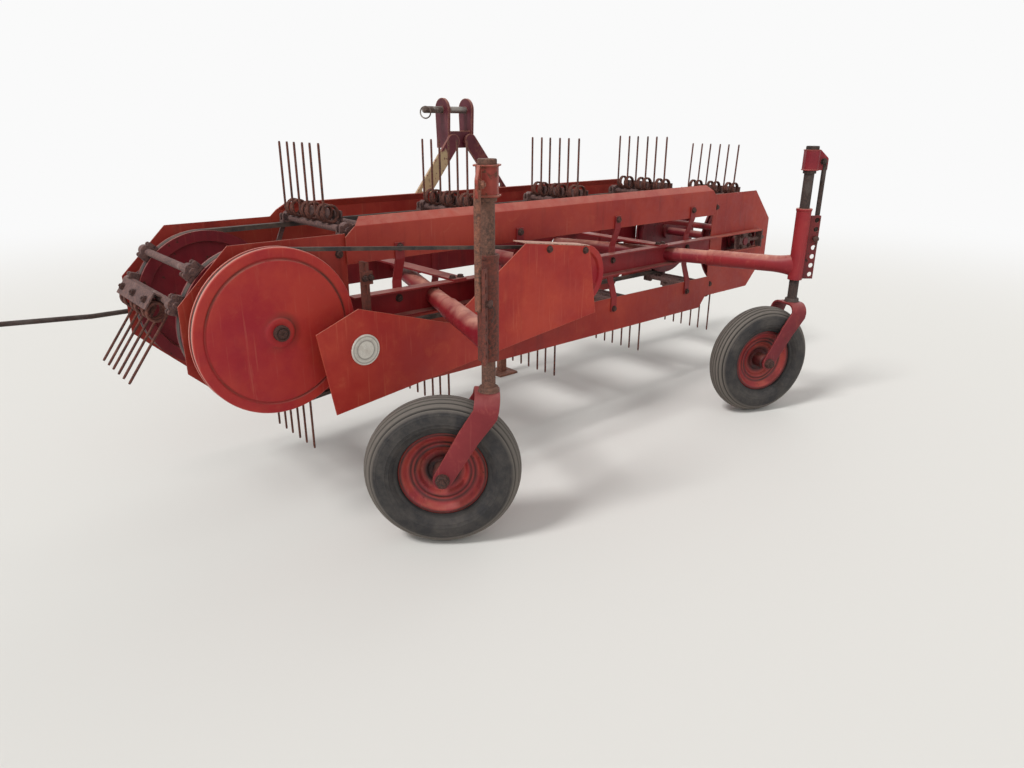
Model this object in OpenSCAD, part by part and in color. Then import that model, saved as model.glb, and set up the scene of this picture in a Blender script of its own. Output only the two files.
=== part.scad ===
// Belt rake for a tractor's three-point hitch, 2.4 m wide, standing on two caster wheels and a front leg.
// X runs across the machine, +Y forward to the tractor, +Z up. Millimetres.

/* [Frame] */
// Distance from a roller shaft out to its end plates' outer edge
end_over = 211; // [205:1:240]
// Distance between the outer faces of the front and rear walls
wall_gap = 480; // [460:5:560]
// Thickness of the wall and shield sheets
sheet_t = 3; // [2:0.5:4]
// Height of the end plates
wall_h = 430; // [420:5:460]
// Length of each end plate
end_len = 453; // [430:1:480]
// Corner chamfer of the end plates along X
chamfer_x = 134; // [100:2:150]
// Corner chamfer of the end plates along Z
chamfer_z = 131; // [100:1:150]
// Height of the C-channel beams
channel_h = 80; // [76:2:90]
// Depth of the channel flanges
flange_d = 33; // [25:1:38]
// Thickness of the channel section
channel_t = 5; // [4:0.5:6]

/* [Shields] */
// Distance from the shaft line up to the upper shield's lower edge
upper_low = 133; // [125:1:150]
// Height of the upper shield's face
upper_h = 100; // [80:1:110]
// Width of the lip folded inward at the outer edge of the shields
lip_w = 30; // [20:1:36]
// Distance from the shaft line down to the lower shield's upper edge
lower_top = 127; // [120:1:140]
// Height of the lower shield's face
lower_h = 130; // [100:1:140]
// Width of the straps that carry the shields
strap_w = 30; // [24:1:40]

/* [Tine belts] */
// Height of the roller shafts over the ground, as parked
shaft_h = 557; // [540:1:600]
// Distance between the two roller shafts
shaft_span = 2208; // [2180:2:2230]
// Radius of the tine belts' outer face round the rollers
belt_r = 202; // [196:1:206]
// Thickness of a tine belt
belt_t = 14; // [11:1:16]
// Width of a tine belt
belt_w = 22; // [18:1:26]
// Distance of each tine belt from the middle plane
belt_y = 180; // [170:1:190]
// Number of tine bars on the loop
tine_sets = 11; // [9:1:12]
// Distance along the loop from the left shaft's top to the first tine bar
first_set = 278; // [200:1:300]
// Radius of the tine bars and spacer bars
bar_r = 10; // [8:0.5:11]
// Distance along the loop from a tine bar to its spacer bar
spacer_lead = 85; // [80:1:110]
// Outer radius of the tines' coils
coil_r = 27; // [24:0.5:29]
// Radius of the tine wire
wire_r = 3.2; // [2.5:0.1:4]
// Length of a tine from its coil's middle to its tip
tine_len = 192; // [160:1:200]
// Distance from one double tine to the next
tine_pitch = 98; // [96:1:102]
// Length of the crank that guides a tine bar
crank_len = 120; // [100:1:125]

/* [Drive] */
// Outer radius of the large driven pulley
disc_r = 213; // [205:1:220]
// Outer radius of the small drive pulley
drive_r = 105; // [95:1:115]
// Distance of the drive belt's middle behind the rear wall
drive_y = 60; // [56:1:64]
// Width of the drive belt
drive_belt_w = 13; // [10:1:17]
// Distance of the belt guard behind the rear wall
guard_y = 140; // [136:1:144]
// Radius of the drive shaft's splined stub
stub_r = 17.4; // [15:0.1:20]
// Length of the splined stub
stub_len = 82; // [70:1:100]

/* [Wheels] */
// Outer radius of the tyres
tyre_r = 205; // [195:1:210]
// Width of the tyres
tyre_w = 100; // [90:1:110]
// Radius of the rim's edge
rim_r = 122; // [115:1:128]
// Distance of each caster post from the machine's middle
post_x = 742; // [720:2:780]
// Distance of the caster posts behind the rear wall
post_y = 460; // [450:2:500]
// Radius of the caster posts
post_r = 17.5; // [15:0.5:19]
// Distance of the axle from its post
trail = 120; // [100:1:125]
// Direction of the left wheel from its post, in degrees from +X
left_swing = 142; // [0:1:359]
// Direction of the right wheel from its post, in degrees from +X
right_swing = 158; // [0:1:359]
// Radius of the wheel axles
axle_r = 10; // [8:0.5:12]

/* [Arms] */
// Outer radius of the inner arm tubes
arm_r = 27; // [24:0.5:28]
// Wall of the arm tubes
arm_wall = 3.5; // [2.5:0.5:5]
// Distance of the arms' front ends from the machine's middle
arm_front_x = 404; // [380:2:430]
// Length of a post's guide sleeve
sleeve_l = 260; // [240:2:280]
// Outer radius of a guide sleeve
sleeve_r = 26; // [23:0.5:30]
// Spacing of the holes in the height plates
hole_pitch = 33; // [30:1:34]
// Radius of the holes in the height plates
hole_r = 9; // [7:0.5:10]

/* [Hitch] */
// Distance of the mast in front of the machine's middle plane
mast_y = 405; // [395:5:430]
// Height of the top link hole over the ground
top_link_h = 1097; // [1060:1:1120]
// Radius of the top link hole
top_link_r = 12.75; // [9.5:0.05:12.8]
// Distance of the lower hitch plates from the middle
hitch_x = 318; // [300:1:340]
// Radius of the lower hitch pins
hitch_pin_r = 11.1; // [9:0.1:14]
// Length of the lower hitch pins
hitch_pin_l = 95; // [80:1:110]
// Width of the parking leg's square tube
leg_w = 30; // [24:1:36]

/* [Hidden] */
$fn = 48;
half_shaft = shaft_span / 2;
half_span = half_shaft + end_over;
half_gap = wall_gap / 2;
shaft_r = 17.5;
drive_shaft_r = 20;
gap = 0.3;
web_in = half_gap - sheet_t - channel_t;
web_out = half_gap - sheet_t;
flange_out = web_out + flange_d;
channel_z = shaft_h + 3;
channel_low = channel_z - channel_h / 2;
channel_top = channel_z + channel_h / 2;
end_in = half_span - end_len;
shield_y = half_gap + 7;
shield_half = end_in - 12;
upper_z = shaft_h + upper_low;
lower_z = shaft_h - lower_top;
plate_low = shaft_h - wall_h / 2;
plate_top = shaft_h + wall_h / 2;
red = [0.62, 0.16, 0.13];
rust = [0.42, 0.29, 0.24];
rubber = [0.16, 0.16, 0.17];
steel = [0.55, 0.55, 0.56];

// Box given by its low and high corners
module block(x0, x1, y0, y1, z0, z1) {
    translate([x0, y0, z0]) cube([x1 - x0, y1 - y0, z1 - z0]);
}

// Round bar or hole along X, Y or Z, given by its two ends
module rod_x(r, x0, x1, y, z) {
    translate([x0, y, z]) rotate([0, 90, 0]) cylinder(r = r, h = x1 - x0);
}
module rod_y(r, x, y0, y1, z) {
    translate([x, y1, z]) rotate([90, 0, 0]) cylinder(r = r, h = y1 - y0);
}
module rod_z(r, x, y, z0, z1) {
    translate([x, y, z0]) cylinder(r = r, h = z1 - z0);
}

// Flat outline in X and Z, made a sheet from y0 to y1
module sheet_xz(y0, y1) {
    translate([0, y1, 0]) rotate([90, 0, 0]) linear_extrude(y1 - y0) children();
}
// Flat outline in Y and Z, made a sheet from x0 to x1
module sheet_yz(x0, x1) {
    translate([x0, 0, 0]) rotate([90, 0, 90]) linear_extrude(x1 - x0) children();
}
// Outline of two circles joined by their outer tangents
module link2d(p, q, rp, rq) {
    d = norm(q - p);
    heading = atan2(q[1] - p[1], q[0] - p[0]);
    open = acos((rp - rq) / d);
    at = function(c, r, a) c + r * [cos(a), sin(a)];
    translate(p) circle(r = rp);
    translate(q) circle(r = rq);
    polygon([at(p, rp, heading + open), at(p, rp, heading - open),
        at(q, rq, heading - open), at(q, rq, heading + open)]);
}
// Rear-side children, and the same mirrored to the front side
module front_side() {
    mirror([0, 1, 0]) children();
}
module left_side() {
    mirror([1, 0, 0]) children();
}

// Frame beams
// The arm's direction from its post, in the right side's frame
arm_run = post_y + half_gap + web_out;
arm_turn = atan2(post_x - arm_front_x, arm_run);
arm_len = norm([post_x - arm_front_x, arm_run]);
arm_z = shaft_h;
module along_arm() {
    translate([post_x, -half_gap - post_y, arm_z]) rotate([-90, 0, arm_turn]) children();
}
module arm_hole() {
    along_arm() translate([0, 0, -10]) cylinder(r = arm_r + gap, h = arm_len + 200);
}
module channel(front) {
    difference() {
        mirror([0, front ? 1 : 0, 0]) {
            block(-end_in - 70, end_in + 70, -web_out, -web_in, channel_low, channel_top);
            for (z = [channel_low, channel_top - channel_t])
                block(-end_in, end_in, -flange_out, -web_out, z, z + channel_t);
        }
        arm_hole();
        left_side() arm_hole();
        rod_y(housing_r + gap, 0, -half_gap - 50, half_gap + 50, shaft_h);
    }
}
module rear_channel() {
    color(red) channel(false);
}
module front_channel() {
    color(red) channel(true);
}

// Flats across the channels' tops and round spacers between the end plates
cross_x = 500;
cross_w = 50;
cross_t = 6;
spacer_x = end_in + 26;
spacer_z = channel_top + 34;
module cross_members() {
    color(red) {
        for (s = [-1, 1]) {
            block(s * cross_x - cross_w / 2, s * cross_x + cross_w / 2,
                -flange_out, flange_out, channel_top, channel_top + cross_t);
            rod_y(13, s * spacer_x, -web_out, web_out, spacer_z);
        }
    }
}

// Tube round the drive shaft with a flange on each channel web
housing_r = 30;
module shaft_housing() {
    color(red) difference() {
        union() {
            rod_y(housing_r, 0, -web_out - 4, web_out + 4, shaft_h);
            for (s = [-1, 1])
                rod_y(44, 0, s * (web_in - 4) - 4, s * (web_in - 4) + 4, shaft_h);
        }
        rod_y(drive_shaft_r + gap, 0, -half_gap - 9, half_gap + 9, shaft_h);
    }
}

// Two mast plates with a cross box, a pair of raking legs and two back stays
mast_half = 62;
mast_t = 10;
mast_w = 76;
mast_eye = 43;
mast_drop = 140;
mast_low = top_link_h - mast_drop;
leg_t = 10;
leg_r = 28;
lug_t = 12;
lug_top = 672;
tab_hole_drop = 34;
tab_hole_r = 8.5;
module mast_plate() {
    difference() {
        sheet_yz(mast_half - mast_t, mast_half) {
            link2d([mast_y, top_link_h], [mast_y, mast_low + mast_w / 2], mast_eye, mast_w / 2);
            translate([mast_y - mast_w / 2, mast_low]) square([mast_w, mast_w / 2]);
        }
        rod_x(top_link_r, mast_half - mast_t - 1, mast_half + 1, mast_y, top_link_h);
    }
}
module headstock() {
    box_h = 62;
    foot = [hitch_x, lug_top - tab_hole_drop];
    head = [mast_half - 20, mast_low + 24];
    brace = head + [148, -173];
    brace_hole_r = 9;
    color(red) {
        mast_plate();
        left_side() mast_plate();
        block(-mast_half + mast_t, mast_half - mast_t, mast_y - 30, mast_y + 30, mast_low, mast_low + box_h);
        difference() {
            for (s = [-1, 1])
                sheet_xz(mast_y - mast_w / 2 - leg_t, mast_y - mast_w / 2)
                    link2d([s * head[0], head[1]], [s * foot[0], foot[1]], leg_r, leg_r);
            for (s = [-1, 1]) {
                rod_y(brace_hole_r, s * brace[0], mast_y - mast_w, mast_y, brace[1]);
                rod_y(tab_hole_r, s * foot[0], mast_y - mast_w, mast_y, foot[1]);
            }
        }
    }
}

// Lugs on the front channel with the lower hitch pins
hitch_pin_z = 528;
lug_front = mast_y + 14;
module lower_hitch() {
    tab_y = mast_y - mast_w / 2 - leg_t - 8;
    color(red) for (s = [-1, 1]) {
        sheet_yz(s * hitch_x - lug_t / 2, s * hitch_x + lug_t / 2)
            polygon([[flange_out, channel_low], [lug_front - 20, hitch_pin_z - 34],
                [lug_front, hitch_pin_z - 14], [lug_front, hitch_pin_z + 20],
                [tab_y, hitch_pin_z + 60], [tab_y, lug_top], [tab_y - 40, lug_top],
                [flange_out, channel_top + 6]]);
        difference() {
            block(s * hitch_x - 30, s * hitch_x + 30, tab_y, tab_y + 8, lug_top - 66, lug_top);
            rod_y(tab_hole_r, s * hitch_x, mast_y - mast_w, mast_y, lug_top - tab_hole_drop);
        }
    }
}
module hitch_pins() {
    color(steel) for (s = [0, 1]) mirror([s, 0, 0])
        rod_x(hitch_pin_r, hitch_x + lug_t / 2, hitch_x + lug_t / 2 + hitch_pin_l,
            lug_front - 22, hitch_pin_z);
}

// End plates of the walls, octagonal at the outer end
module plate_outline() {
    polygon([[end_in, plate_low], [half_span - chamfer_x, plate_low],
        [half_span, plate_low + chamfer_z], [half_span, plate_top - chamfer_z],
        [half_span - chamfer_x, plate_top], [end_in, plate_top]]);
}
// The left plates carry flanged bearings
bearing_hole_r = 24;
module left_plate() {
    left_side() difference() {
        sheet_xz(-half_gap, -half_gap + sheet_t) plate_outline();
        rod_y(bearing_hole_r, half_shaft, -half_gap - 1, -half_gap + sheet_t + 1, shaft_h);
    }
}
// The right plates have a window for the sliding bearings, with a folded rail above and below
slot_half = 135;
slot_mid = half_shaft - 22;
slot_h = channel_h - 2 * channel_t;
module right_plate() {
    x0 = slot_mid - slot_half;
    x1 = slot_mid + slot_half;
    difference() {
        sheet_xz(-half_gap, -half_gap + sheet_t) plate_outline();
        block(x0, x1, -half_gap - 1, -half_gap + sheet_t + 1,
            channel_low + channel_t, channel_top - channel_t);
    }
    for (z = [channel_low, channel_top - channel_t])
        block(end_in + gap, x1, -flange_out, -half_gap, z, z + channel_t);
}
module rear_plate_left() {
    color(red) left_plate();
}
module rear_plate_right() {
    color(red) right_plate();
}
module front_plate_left() {
    color(red) front_side() left_plate();
}
module front_plate_right() {
    color(red) front_side() right_plate();
}

// Long shields between the end plates, each with a lip folded inward and its ends cut off slanting
module upper_shield() {
    crease = upper_z + upper_h;
    drop = lip_w * sin(45);
    difference() {
        sheet_yz(-shield_half, shield_half)
            polygon([[-shield_y - sheet_t, upper_z], [-shield_y, upper_z], [-shield_y, crease - 1],
                [-shield_y + drop, crease + drop - 1], [-shield_y + drop - 2, crease + drop + 1],
                [-shield_y - sheet_t, crease]]);
        for (s = [-1, 1])
            sheet_xz(-shield_y - 50, -shield_y + 50)
                polygon([[s * (shield_half + 5), crease - 30], [s * (shield_half - 75), crease + 40],
                    [s * (shield_half + 5), crease + 40]]);
    }
}
module lower_shield() {
    low = lower_z - lower_h;
    sheet_xz(-shield_y - sheet_t, -shield_y)
        polygon([[-shield_half + 60, low], [shield_half - 60, low], [shield_half, low + 70],
            [shield_half, lower_z], [-shield_half, lower_z], [-shield_half, low + 70]]);
}
module rear_shield_upper() {
    color(red) upper_shield();
}
module rear_shield_lower() {
    color(red) lower_shield();
}
module front_shield_upper() {
    color(red) front_side() upper_shield();
}
module front_shield_lower() {
    color(red) front_side() lower_shield();
}

// Cranked straps behind the channel webs, bolted to the shields' faces
strap_t = 5;
strap_places = [-700, -240, 240, 700];
module strap_profile() {
    out = -shield_y - sheet_t;
    in = -web_in;
    top = upper_z + 44;
    low = lower_z - 52;
    crank_top = channel_top + 20;
    crank_low = channel_low - 20;
    polygon([[out - strap_t, top], [out, top], [out, upper_z], [in + strap_t, crank_top],
        [in + strap_t, crank_low], [out, lower_z], [out, low], [out - strap_t, low],
        [out - strap_t, lower_z + 2], [in, crank_low - 4],
        [in, crank_top + 4], [out - strap_t, upper_z - 2]]);
}
module shield_straps() {
    color(red) for (side = [0, 1]) mirror([0, side, 0])
        for (x = strap_places)
            sheet_yz(x - strap_w / 2, x + strap_w / 2) strap_profile();
}

// Rusty upright with a bolted clamp at the rear channel's left end
module clamp_bracket() {
    x = -end_in + 24;
    back = -flange_out - 34;
    pad_t = 8;
    color(rust) {
        block(x - 5, x + 5, back, -flange_out, channel_low + 10, channel_top + 100);
        block(x - 16, x + 16, back, back + pad_t, channel_top + 40, channel_top + 76);
    }
}

// Rollers: a shaft with two V-grooved pulleys for the tine belts
pulley_r = belt_r - 1;
pulley_w = belt_w + 18;
seat = 0.05;
module belt_pulley(y) {
    bore = shaft_r + seat;
    hub_r = 36;
    web_t = 6;
    translate([0, y, 0]) rotate([90, 0, 0]) rotate_extrude($fn = 96) polygon([
        [bore, -pulley_w / 2], [hub_r, -pulley_w / 2], [hub_r, -web_t / 2],
        [pulley_r - 34, -web_t / 2], [pulley_r - 30, -pulley_w / 2], [pulley_r, -pulley_w / 2],
        [pulley_r, -belt_w / 2 - gap], [belt_r - belt_t - gap, -belt_w / 2 - gap],
        [belt_r - belt_t - gap, belt_w / 2 + gap], [pulley_r, belt_w / 2 + gap], [pulley_r, pulley_w / 2],
        [pulley_r - 30, pulley_w / 2], [pulley_r - 34, web_t / 2], [hub_r, web_t / 2],
        [hub_r, pulley_w / 2], [bore, pulley_w / 2]]);
}
module roller(rear_end) {
    rod_y(shaft_r, 0, rear_end, half_gap + 22, 0);
    for (y = [-belt_y, belt_y]) belt_pulley(y);
}
disc_out = half_gap + drive_y + 20;
module roller_left() {
    color(rust) translate([-half_shaft, 0, shaft_h]) roller(-disc_out - 10);
}
module roller_right() {
    color(rust) translate([half_shaft, 0, shaft_h]) roller(-half_gap - 22);
}
// Flanged bearings outside the left plates
module bearings_left() {
    color(rust) for (side = [0, 1]) mirror([0, side, 0])
        translate([-half_shaft, 0, shaft_h]) difference() {
            union() {
                rod_y(46, 0, -half_gap - 6, -half_gap, 0);
                rod_y(27, 0, -half_gap - 16, -half_gap - 5, 0);
            }
            rod_y(shaft_r + 0.05, 0, -half_gap - 30, -half_gap + 10, 0);
        }
}
// Sliding bearing blocks between the right plates' rails, each with its tension bolt
module belt_tensioners() {
    x1 = slot_mid + slot_half;
    h = slot_h / 2 - gap;
    color(rust) for (side = [0, 1]) mirror([0, side, 0]) translate([0, 0, channel_z]) {
        difference() {
            union() {
                block(half_shaft - 42, half_shaft + 42, -half_gap - 17, -half_gap + sheet_t + 6, -h, h);
                rod_x(8, half_shaft + 40, x1 + 46, -half_gap - 9, 0);
            }
            rod_y(shaft_r + 0.05, half_shaft, -half_gap - 40, 0, shaft_h - channel_z);
        }
        difference() {
            block(x1 + 0.01, x1 + 8, -flange_out, -half_gap, -channel_h / 2, channel_h / 2);
            rod_x(8.2, x1 - 5, x1 + 20, -half_gap - 9, 0);
        }
        rod_x($fn = 6, 8.9, x1 + 8 + gap, x1 + 20, -half_gap - 9.1, 0);
    }
}

// Tine belts: a loop round both rollers
loop_r = belt_r - belt_t / 2;
turn_len = PI * loop_r;
loop_len = 2 * shaft_span + 2 * turn_len;
module loop2d(r) {
    for (s = [-1, 1]) translate([s * half_shaft, shaft_h]) circle(r = r, $fn = 96);
    translate([-half_shaft, shaft_h - r]) square([shaft_span, 2 * r]);
}
module tine_belts() {
    color(rubber) for (y = [-belt_y, belt_y])
        sheet_xz(y - belt_w / 2, y + belt_w / 2) difference() {
            loop2d(belt_r);
            loop2d(belt_r - belt_t);
        }
}
// Place on the loop at a distance s along it from the left shaft's top, towards the right:
// [x, z, heading of the outward normal]
function on_loop(s) = let (d = s % loop_len, p = d < 0 ? d + loop_len : d)
    p < shaft_span ? [-half_shaft + p, shaft_h + belt_r, 90]
    : p < shaft_span + turn_len ? let (a = 90 - (p - shaft_span) / loop_r * 180 / PI)
        [half_shaft + belt_r * cos(a), shaft_h + belt_r * sin(a), a]
    : p < 2 * shaft_span + turn_len ? [half_shaft - (p - shaft_span - turn_len), shaft_h - belt_r, -90]
    : let (a = -90 - (p - 2 * shaft_span - turn_len) / loop_r * 180 / PI)
        [-half_shaft + belt_r * cos(a), shaft_h + belt_r * sin(a), a];
// Direction of the tines: they stay upright at the right end and hang down while they rise at the left end
right_guide = [[-90, -90], [-30, 0], [20, 78], [60, 88], [90, 90]];
left_guide = [[-270, -270], [-201, -126], [-150, -94], [-90, -90]];
function tine_heading(s) = let (d = s % loop_len, p = d < 0 ? d + loop_len : d, a = on_loop(p)[2])
    p <= shaft_span + turn_len ? lookup(a, right_guide) : lookup(a, left_guide);
module on_belt(s) {
    place = on_loop(s);
    translate([place[0], 0, place[1]]) rotate([0, 90 - place[2], 0]) children();
}
// Bars with their cast clamps, and the crank and roller that guide each tine bar
bar_lift = bar_r + 2;
bar_end = belt_y + 20;
module bar_on_belt() {
    rod_y(bar_r, 0, -bar_end, bar_end, bar_lift);
    for (y = [-belt_y, belt_y]) {
        block(-26, 26, y - 13, y + 13, 0, 7);
        rod_y(bar_r + 6, 0, y - 13, y + 13, bar_lift + 5);
    }
}
crank_t = 6;
module crank(turn) {
    tip = crank_len * [cos(turn), sin(turn)];
    sheet_xz(bar_end, bar_end + crank_t) translate([0, bar_lift]) {
        circle(r = bar_r + 4);
        translate(tip) circle(r = 9);
        rotate(turn) translate([0, -7]) square([crank_len, 14]);
    }
    rod_y(14, tip[0], bar_end + crank_t, bar_end + crank_t + 14, bar_lift + tip[1]);
}
module tine_bars() {
    pitch = loop_len / tine_sets;
    color(rust) for (k = [0:tine_sets - 1]) {
        s = first_set + k * pitch;
        on_belt(s) {
            bar_on_belt();
            crank(tine_heading(s) + 156 - on_loop(s)[2] + 90);
            at_tines(s) tine_holder();
        }
        on_belt(s + spacer_lead) bar_on_belt();
    }
}
// Turns from the belt's outward normal to the tines' own direction
module at_tines(s) {
    translate([0, 0, bar_lift]) rotate([0, on_loop(s)[2] - tine_heading(s), 0]) children();
}
// Angled strip along the bar that covers the backs of the coils
tine_mid = 20;
holder_t = 4;
module tine_holder() {
    y0 = tine_mid - tine_pitch - coil_gap - coil_w - 2;
    y1 = tine_mid + tine_pitch + coil_gap + coil_w + 2;
    x1 = coil_r + 1.3 + holder_t;
    block(0, x1, y0, y1, -holder_t, 0);
    block(x1 - holder_t, x1, y0, y1, -holder_t, 44);
}
// Double tines: two coils on each side of a seat on the bar, with a straight tine from each coil
coil_w = 19;
coil_gap = 8.5;
module double_tine() {
    lift = bar_r + coil_r;
    for (s = [-1, 1]) {
        difference() {
            rod_y($fn = 12, coil_r, 0, min(s * coil_gap, s * (coil_gap + coil_w)),
                max(s * coil_gap, s * (coil_gap + coil_w)), lift);
            rod_y($fn = 12, coil_r - 2 * wire_r, 0, -60, 60, lift);
        }
        translate([-coil_r + wire_r, s * (coil_gap + coil_w - wire_r), lift])
            cylinder(r = wire_r, h = tine_len, $fn = 6);
    }
    block(-9, 9, -coil_gap, coil_gap, bar_r, bar_r + 2 * wire_r);
}
module tines() {
    pitch = loop_len / tine_sets;
    color(rust) for (k = [0:tine_sets - 1]) {
        s = first_set + k * pitch;
        on_belt(s) at_tines(s) for (m = [-1, 0, 1])
            translate([0, tine_mid + m * tine_pitch, 0]) double_tine();
    }
}

// Drive shaft with its splined stub in front and the small pulley behind
drive_plane = half_gap + drive_y;
stub_start = mast_y + 40;
stub_end = stub_start + stub_len;
groove = 13;
module drive_shaft() {
    color(steel) {
        rod_y(drive_shaft_r, 0, -drive_plane - 20, stub_start, shaft_h);
        rod_y(stub_r, 0, stub_start - 1, stub_end, shaft_h);
    }
    color(red) translate([0, -drive_plane, shaft_h]) rotate([90, 0, 0]) rotate_extrude($fn = 72) polygon([
        [drive_shaft_r + seat, -18], [34, -18], [34, -4], [drive_r - 26, -4],
        [drive_r - 22, -14], [drive_r, -14],
        [drive_r, -drive_belt_w / 2 - gap], [drive_r - groove, -drive_belt_w / 2 - gap],
        [drive_r - groove, drive_belt_w / 2 + gap], [drive_r, drive_belt_w / 2 + gap],
        [drive_r, 14], [drive_r - 22, 14], [drive_r - 26, 4], [34, 4], [34, 18], [drive_shaft_r + seat, 18]]);
}
// Large driven pulley: a pressed disc with a stepped edge and a double rim
module driven_disc() {
    color(red) translate([-half_shaft, -drive_plane, shaft_h]) rotate([90, 0, 0])
        rotate_extrude($fn = 120) polygon([
            [shaft_r + seat, -18], [34, -18], [34, 12], [disc_r - 40, 12], [disc_r - 34, 10],
            [disc_r - 26, 10], [disc_r - 24, -14], [disc_r - 3, -14], [disc_r, -11],
            [disc_r, -drive_belt_w / 2 - gap], [disc_r - groove, -drive_belt_w / 2 - gap],
            [disc_r - groove, drive_belt_w / 2 + gap], [disc_r, drive_belt_w / 2 + gap],
            [disc_r, 13], [disc_r - 3, 16], [disc_r - 30, 16], [disc_r - 32, 18],
            [40, 18], [34, 22], [shaft_r + seat, 22]]);
}
// Drive belt round the two pulleys
drive_belt_t = 10;
module drive_belt() {
    in_big = disc_r - groove + gap;
    in_small = drive_r - groove + gap;
    a = [-half_shaft, shaft_h];
    b = [0, shaft_h];
    color(rubber) sheet_xz(-drive_plane - drive_belt_w / 2, -drive_plane + drive_belt_w / 2) difference() {
        link2d(a, b, in_big + drive_belt_t, in_small + drive_belt_t, $fn = 96);
        link2d(a, b, in_big, in_small, $fn = 96);
    }
}

// Belt guard: a flat plate cut in a V under the left arm, on two brackets from the channel
guard_plane = half_gap + guard_y;
guard_points = [[-half_shaft + 64, shaft_h - 5], [-half_shaft + 103, shaft_h - 232],
    [-6, shaft_h - 117], [-48, shaft_h + 115], [-332, shaft_h + 152]];
guard_shoulder = [-half_shaft + 188, shaft_h + 43];
guard_brackets = [-end_in - 4, -160];
guard_bracket_w = 30;
notch_x = -(post_x - (post_y - guard_y) * tan(arm_turn));
notch_z = arm_z - arm_r - 18;
module belt_guard() {
    color(red) {
        sheet_xz(-guard_plane - sheet_t, -guard_plane)
            polygon([for (p = guard_points) p, [notch_x, notch_z], guard_shoulder]);
        for (x = guard_brackets)
            block(x - guard_bracket_w / 2, x + guard_bracket_w / 2,
                -guard_plane, -flange_out, channel_low, channel_low + channel_t);
    }
}
// Pale strip over the guard's top edge, folded inward over the small pulley
cover_w = 60;
module guard_cover() {
    a = guard_points[4];
    b = guard_points[3];
    len = norm(b - a);
    color([0.8, 0.72, 0.6]) translate([a[0], 0, a[1]]) rotate([0, -atan2(b[1] - a[1], b[0] - a[0]), 0])
        block(0, len, -guard_plane - sheet_t, -guard_plane - sheet_t + cover_w, 0, 3);
}
// Round reflector, blank
reflector_r = 38;
reflector_t = 6;
reflector_x = -half_shaft + 199;
reflector_z = shaft_h - 69;
module reflector() {
    y = -guard_plane - sheet_t;
    color([0.85, 0.83, 0.78]) rod_y(reflector_r, reflector_x, y - reflector_t, y, reflector_z);
}

// Long round bar that guides the swath, clamped behind the front plate's left end
rod_r = 7;
rod_z = 532;
rod_kink_x = -half_span - 90;
rod_rise = 4;
rod_out = 226;
module swath_rod() {
    y = half_gap + 30;
    color(rust) {
        block(-half_span + 10, -half_span + 60, half_gap, y + 16, rod_z - 20, rod_z + 20);
        rod_x(rod_r, rod_kink_x, -half_span + 20, y, rod_z);
        translate([rod_kink_x + 1, y, rod_z]) rotate([0, rod_rise - 90, 0]) cylinder(r = rod_r, h = rod_out);
    }
}

// Arm tubes through both channels, with the telescopic heads that hold the post sleeves
arm_start = 330;
head_len = 330;
module arm_tube() {
    along_arm() difference() {
        translate([0, 0, arm_start - 120]) cylinder(r = arm_r, h = arm_len - arm_start + 120);
        translate([0, 0, arm_start - 130]) cylinder(r = arm_r - arm_wall, h = arm_len);
    }
}
sleeve_low = 505;
sleeve_top = sleeve_low + sleeve_l;
hole_x = 52;
hole_top = sleeve_top - 42;
plate_t = 8;
flange_half = 30;
module arm_head() {
    head_r = arm_r + gap + arm_wall;
    difference() {
        union() {
            along_arm() cylinder(r = head_r, h = head_len);
            along_arm() cylinder(r1 = 42, r2 = head_r, h = 90);
            translate([post_x, -half_gap - post_y, 0]) {
                rod_z(sleeve_r, 0, 0, sleeve_low, sleeve_top);
                block(-flange_half, flange_half, -flange_half, flange_half, sleeve_top - 4, sleeve_top);
                block(0, hole_x + 12, -plate_t / 2, plate_t / 2,
                    hole_top - 6 * hole_pitch - 18, hole_top + 17);
            }
        }
        along_arm() translate([0, 0, 60]) cylinder(r = arm_r + gap, h = head_len);
        translate([post_x, -half_gap - post_y, 0]) {
            rod_z(post_r + gap, 0, 0, sleeve_low - 60, sleeve_top + 10);
            for (k = [0:6])
                rod_y(hole_r, hole_x, -20, 20, hole_top - k * hole_pitch);
        }
    }
}
module arm_left() {
    color(red) left_side() arm_tube();
}
module arm_right() {
    color(red) arm_tube();
}
module arm_head_left() {
    color(rust) left_side() arm_head();
}
module arm_head_right() {
    color(red) arm_head();
}

// Bracket that holds the post's top and hangs a locking bar beside the hole plate
bracket_low = 897;
bracket_top = 968;
bar_y = plate_t / 2 + 9.3;
lock_r = 8.5;
module lock_bracket() {
    translate([post_x, -half_gap - post_y, 0]) {
        difference() {
            union() {
                block(-25, 25, -25, 25, bracket_low, bracket_top);
                for (z = [bracket_low, bracket_top - 4])
                    block(-flange_half, flange_half, -flange_half, flange_half, z, z + 4);
                sheet_xz(bar_y - 4, bar_y + 4)
                    polygon([[0, bracket_low], [66, bracket_low], [66, bracket_top - 30],
                        [34, bracket_top], [0, bracket_top]]);
                rod_z(lock_r, hole_x, bar_y, hole_top - 2 * hole_pitch - 17, bracket_low + 20);
            }
            rod_z(post_r + gap, 0, 0, bracket_low - 10, bracket_top + 10);
        }
    }
}
module lock_bracket_left() {
    color(rust) left_side() lock_bracket();
}
module lock_bracket_right() {
    color(red) lock_bracket();
}

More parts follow.
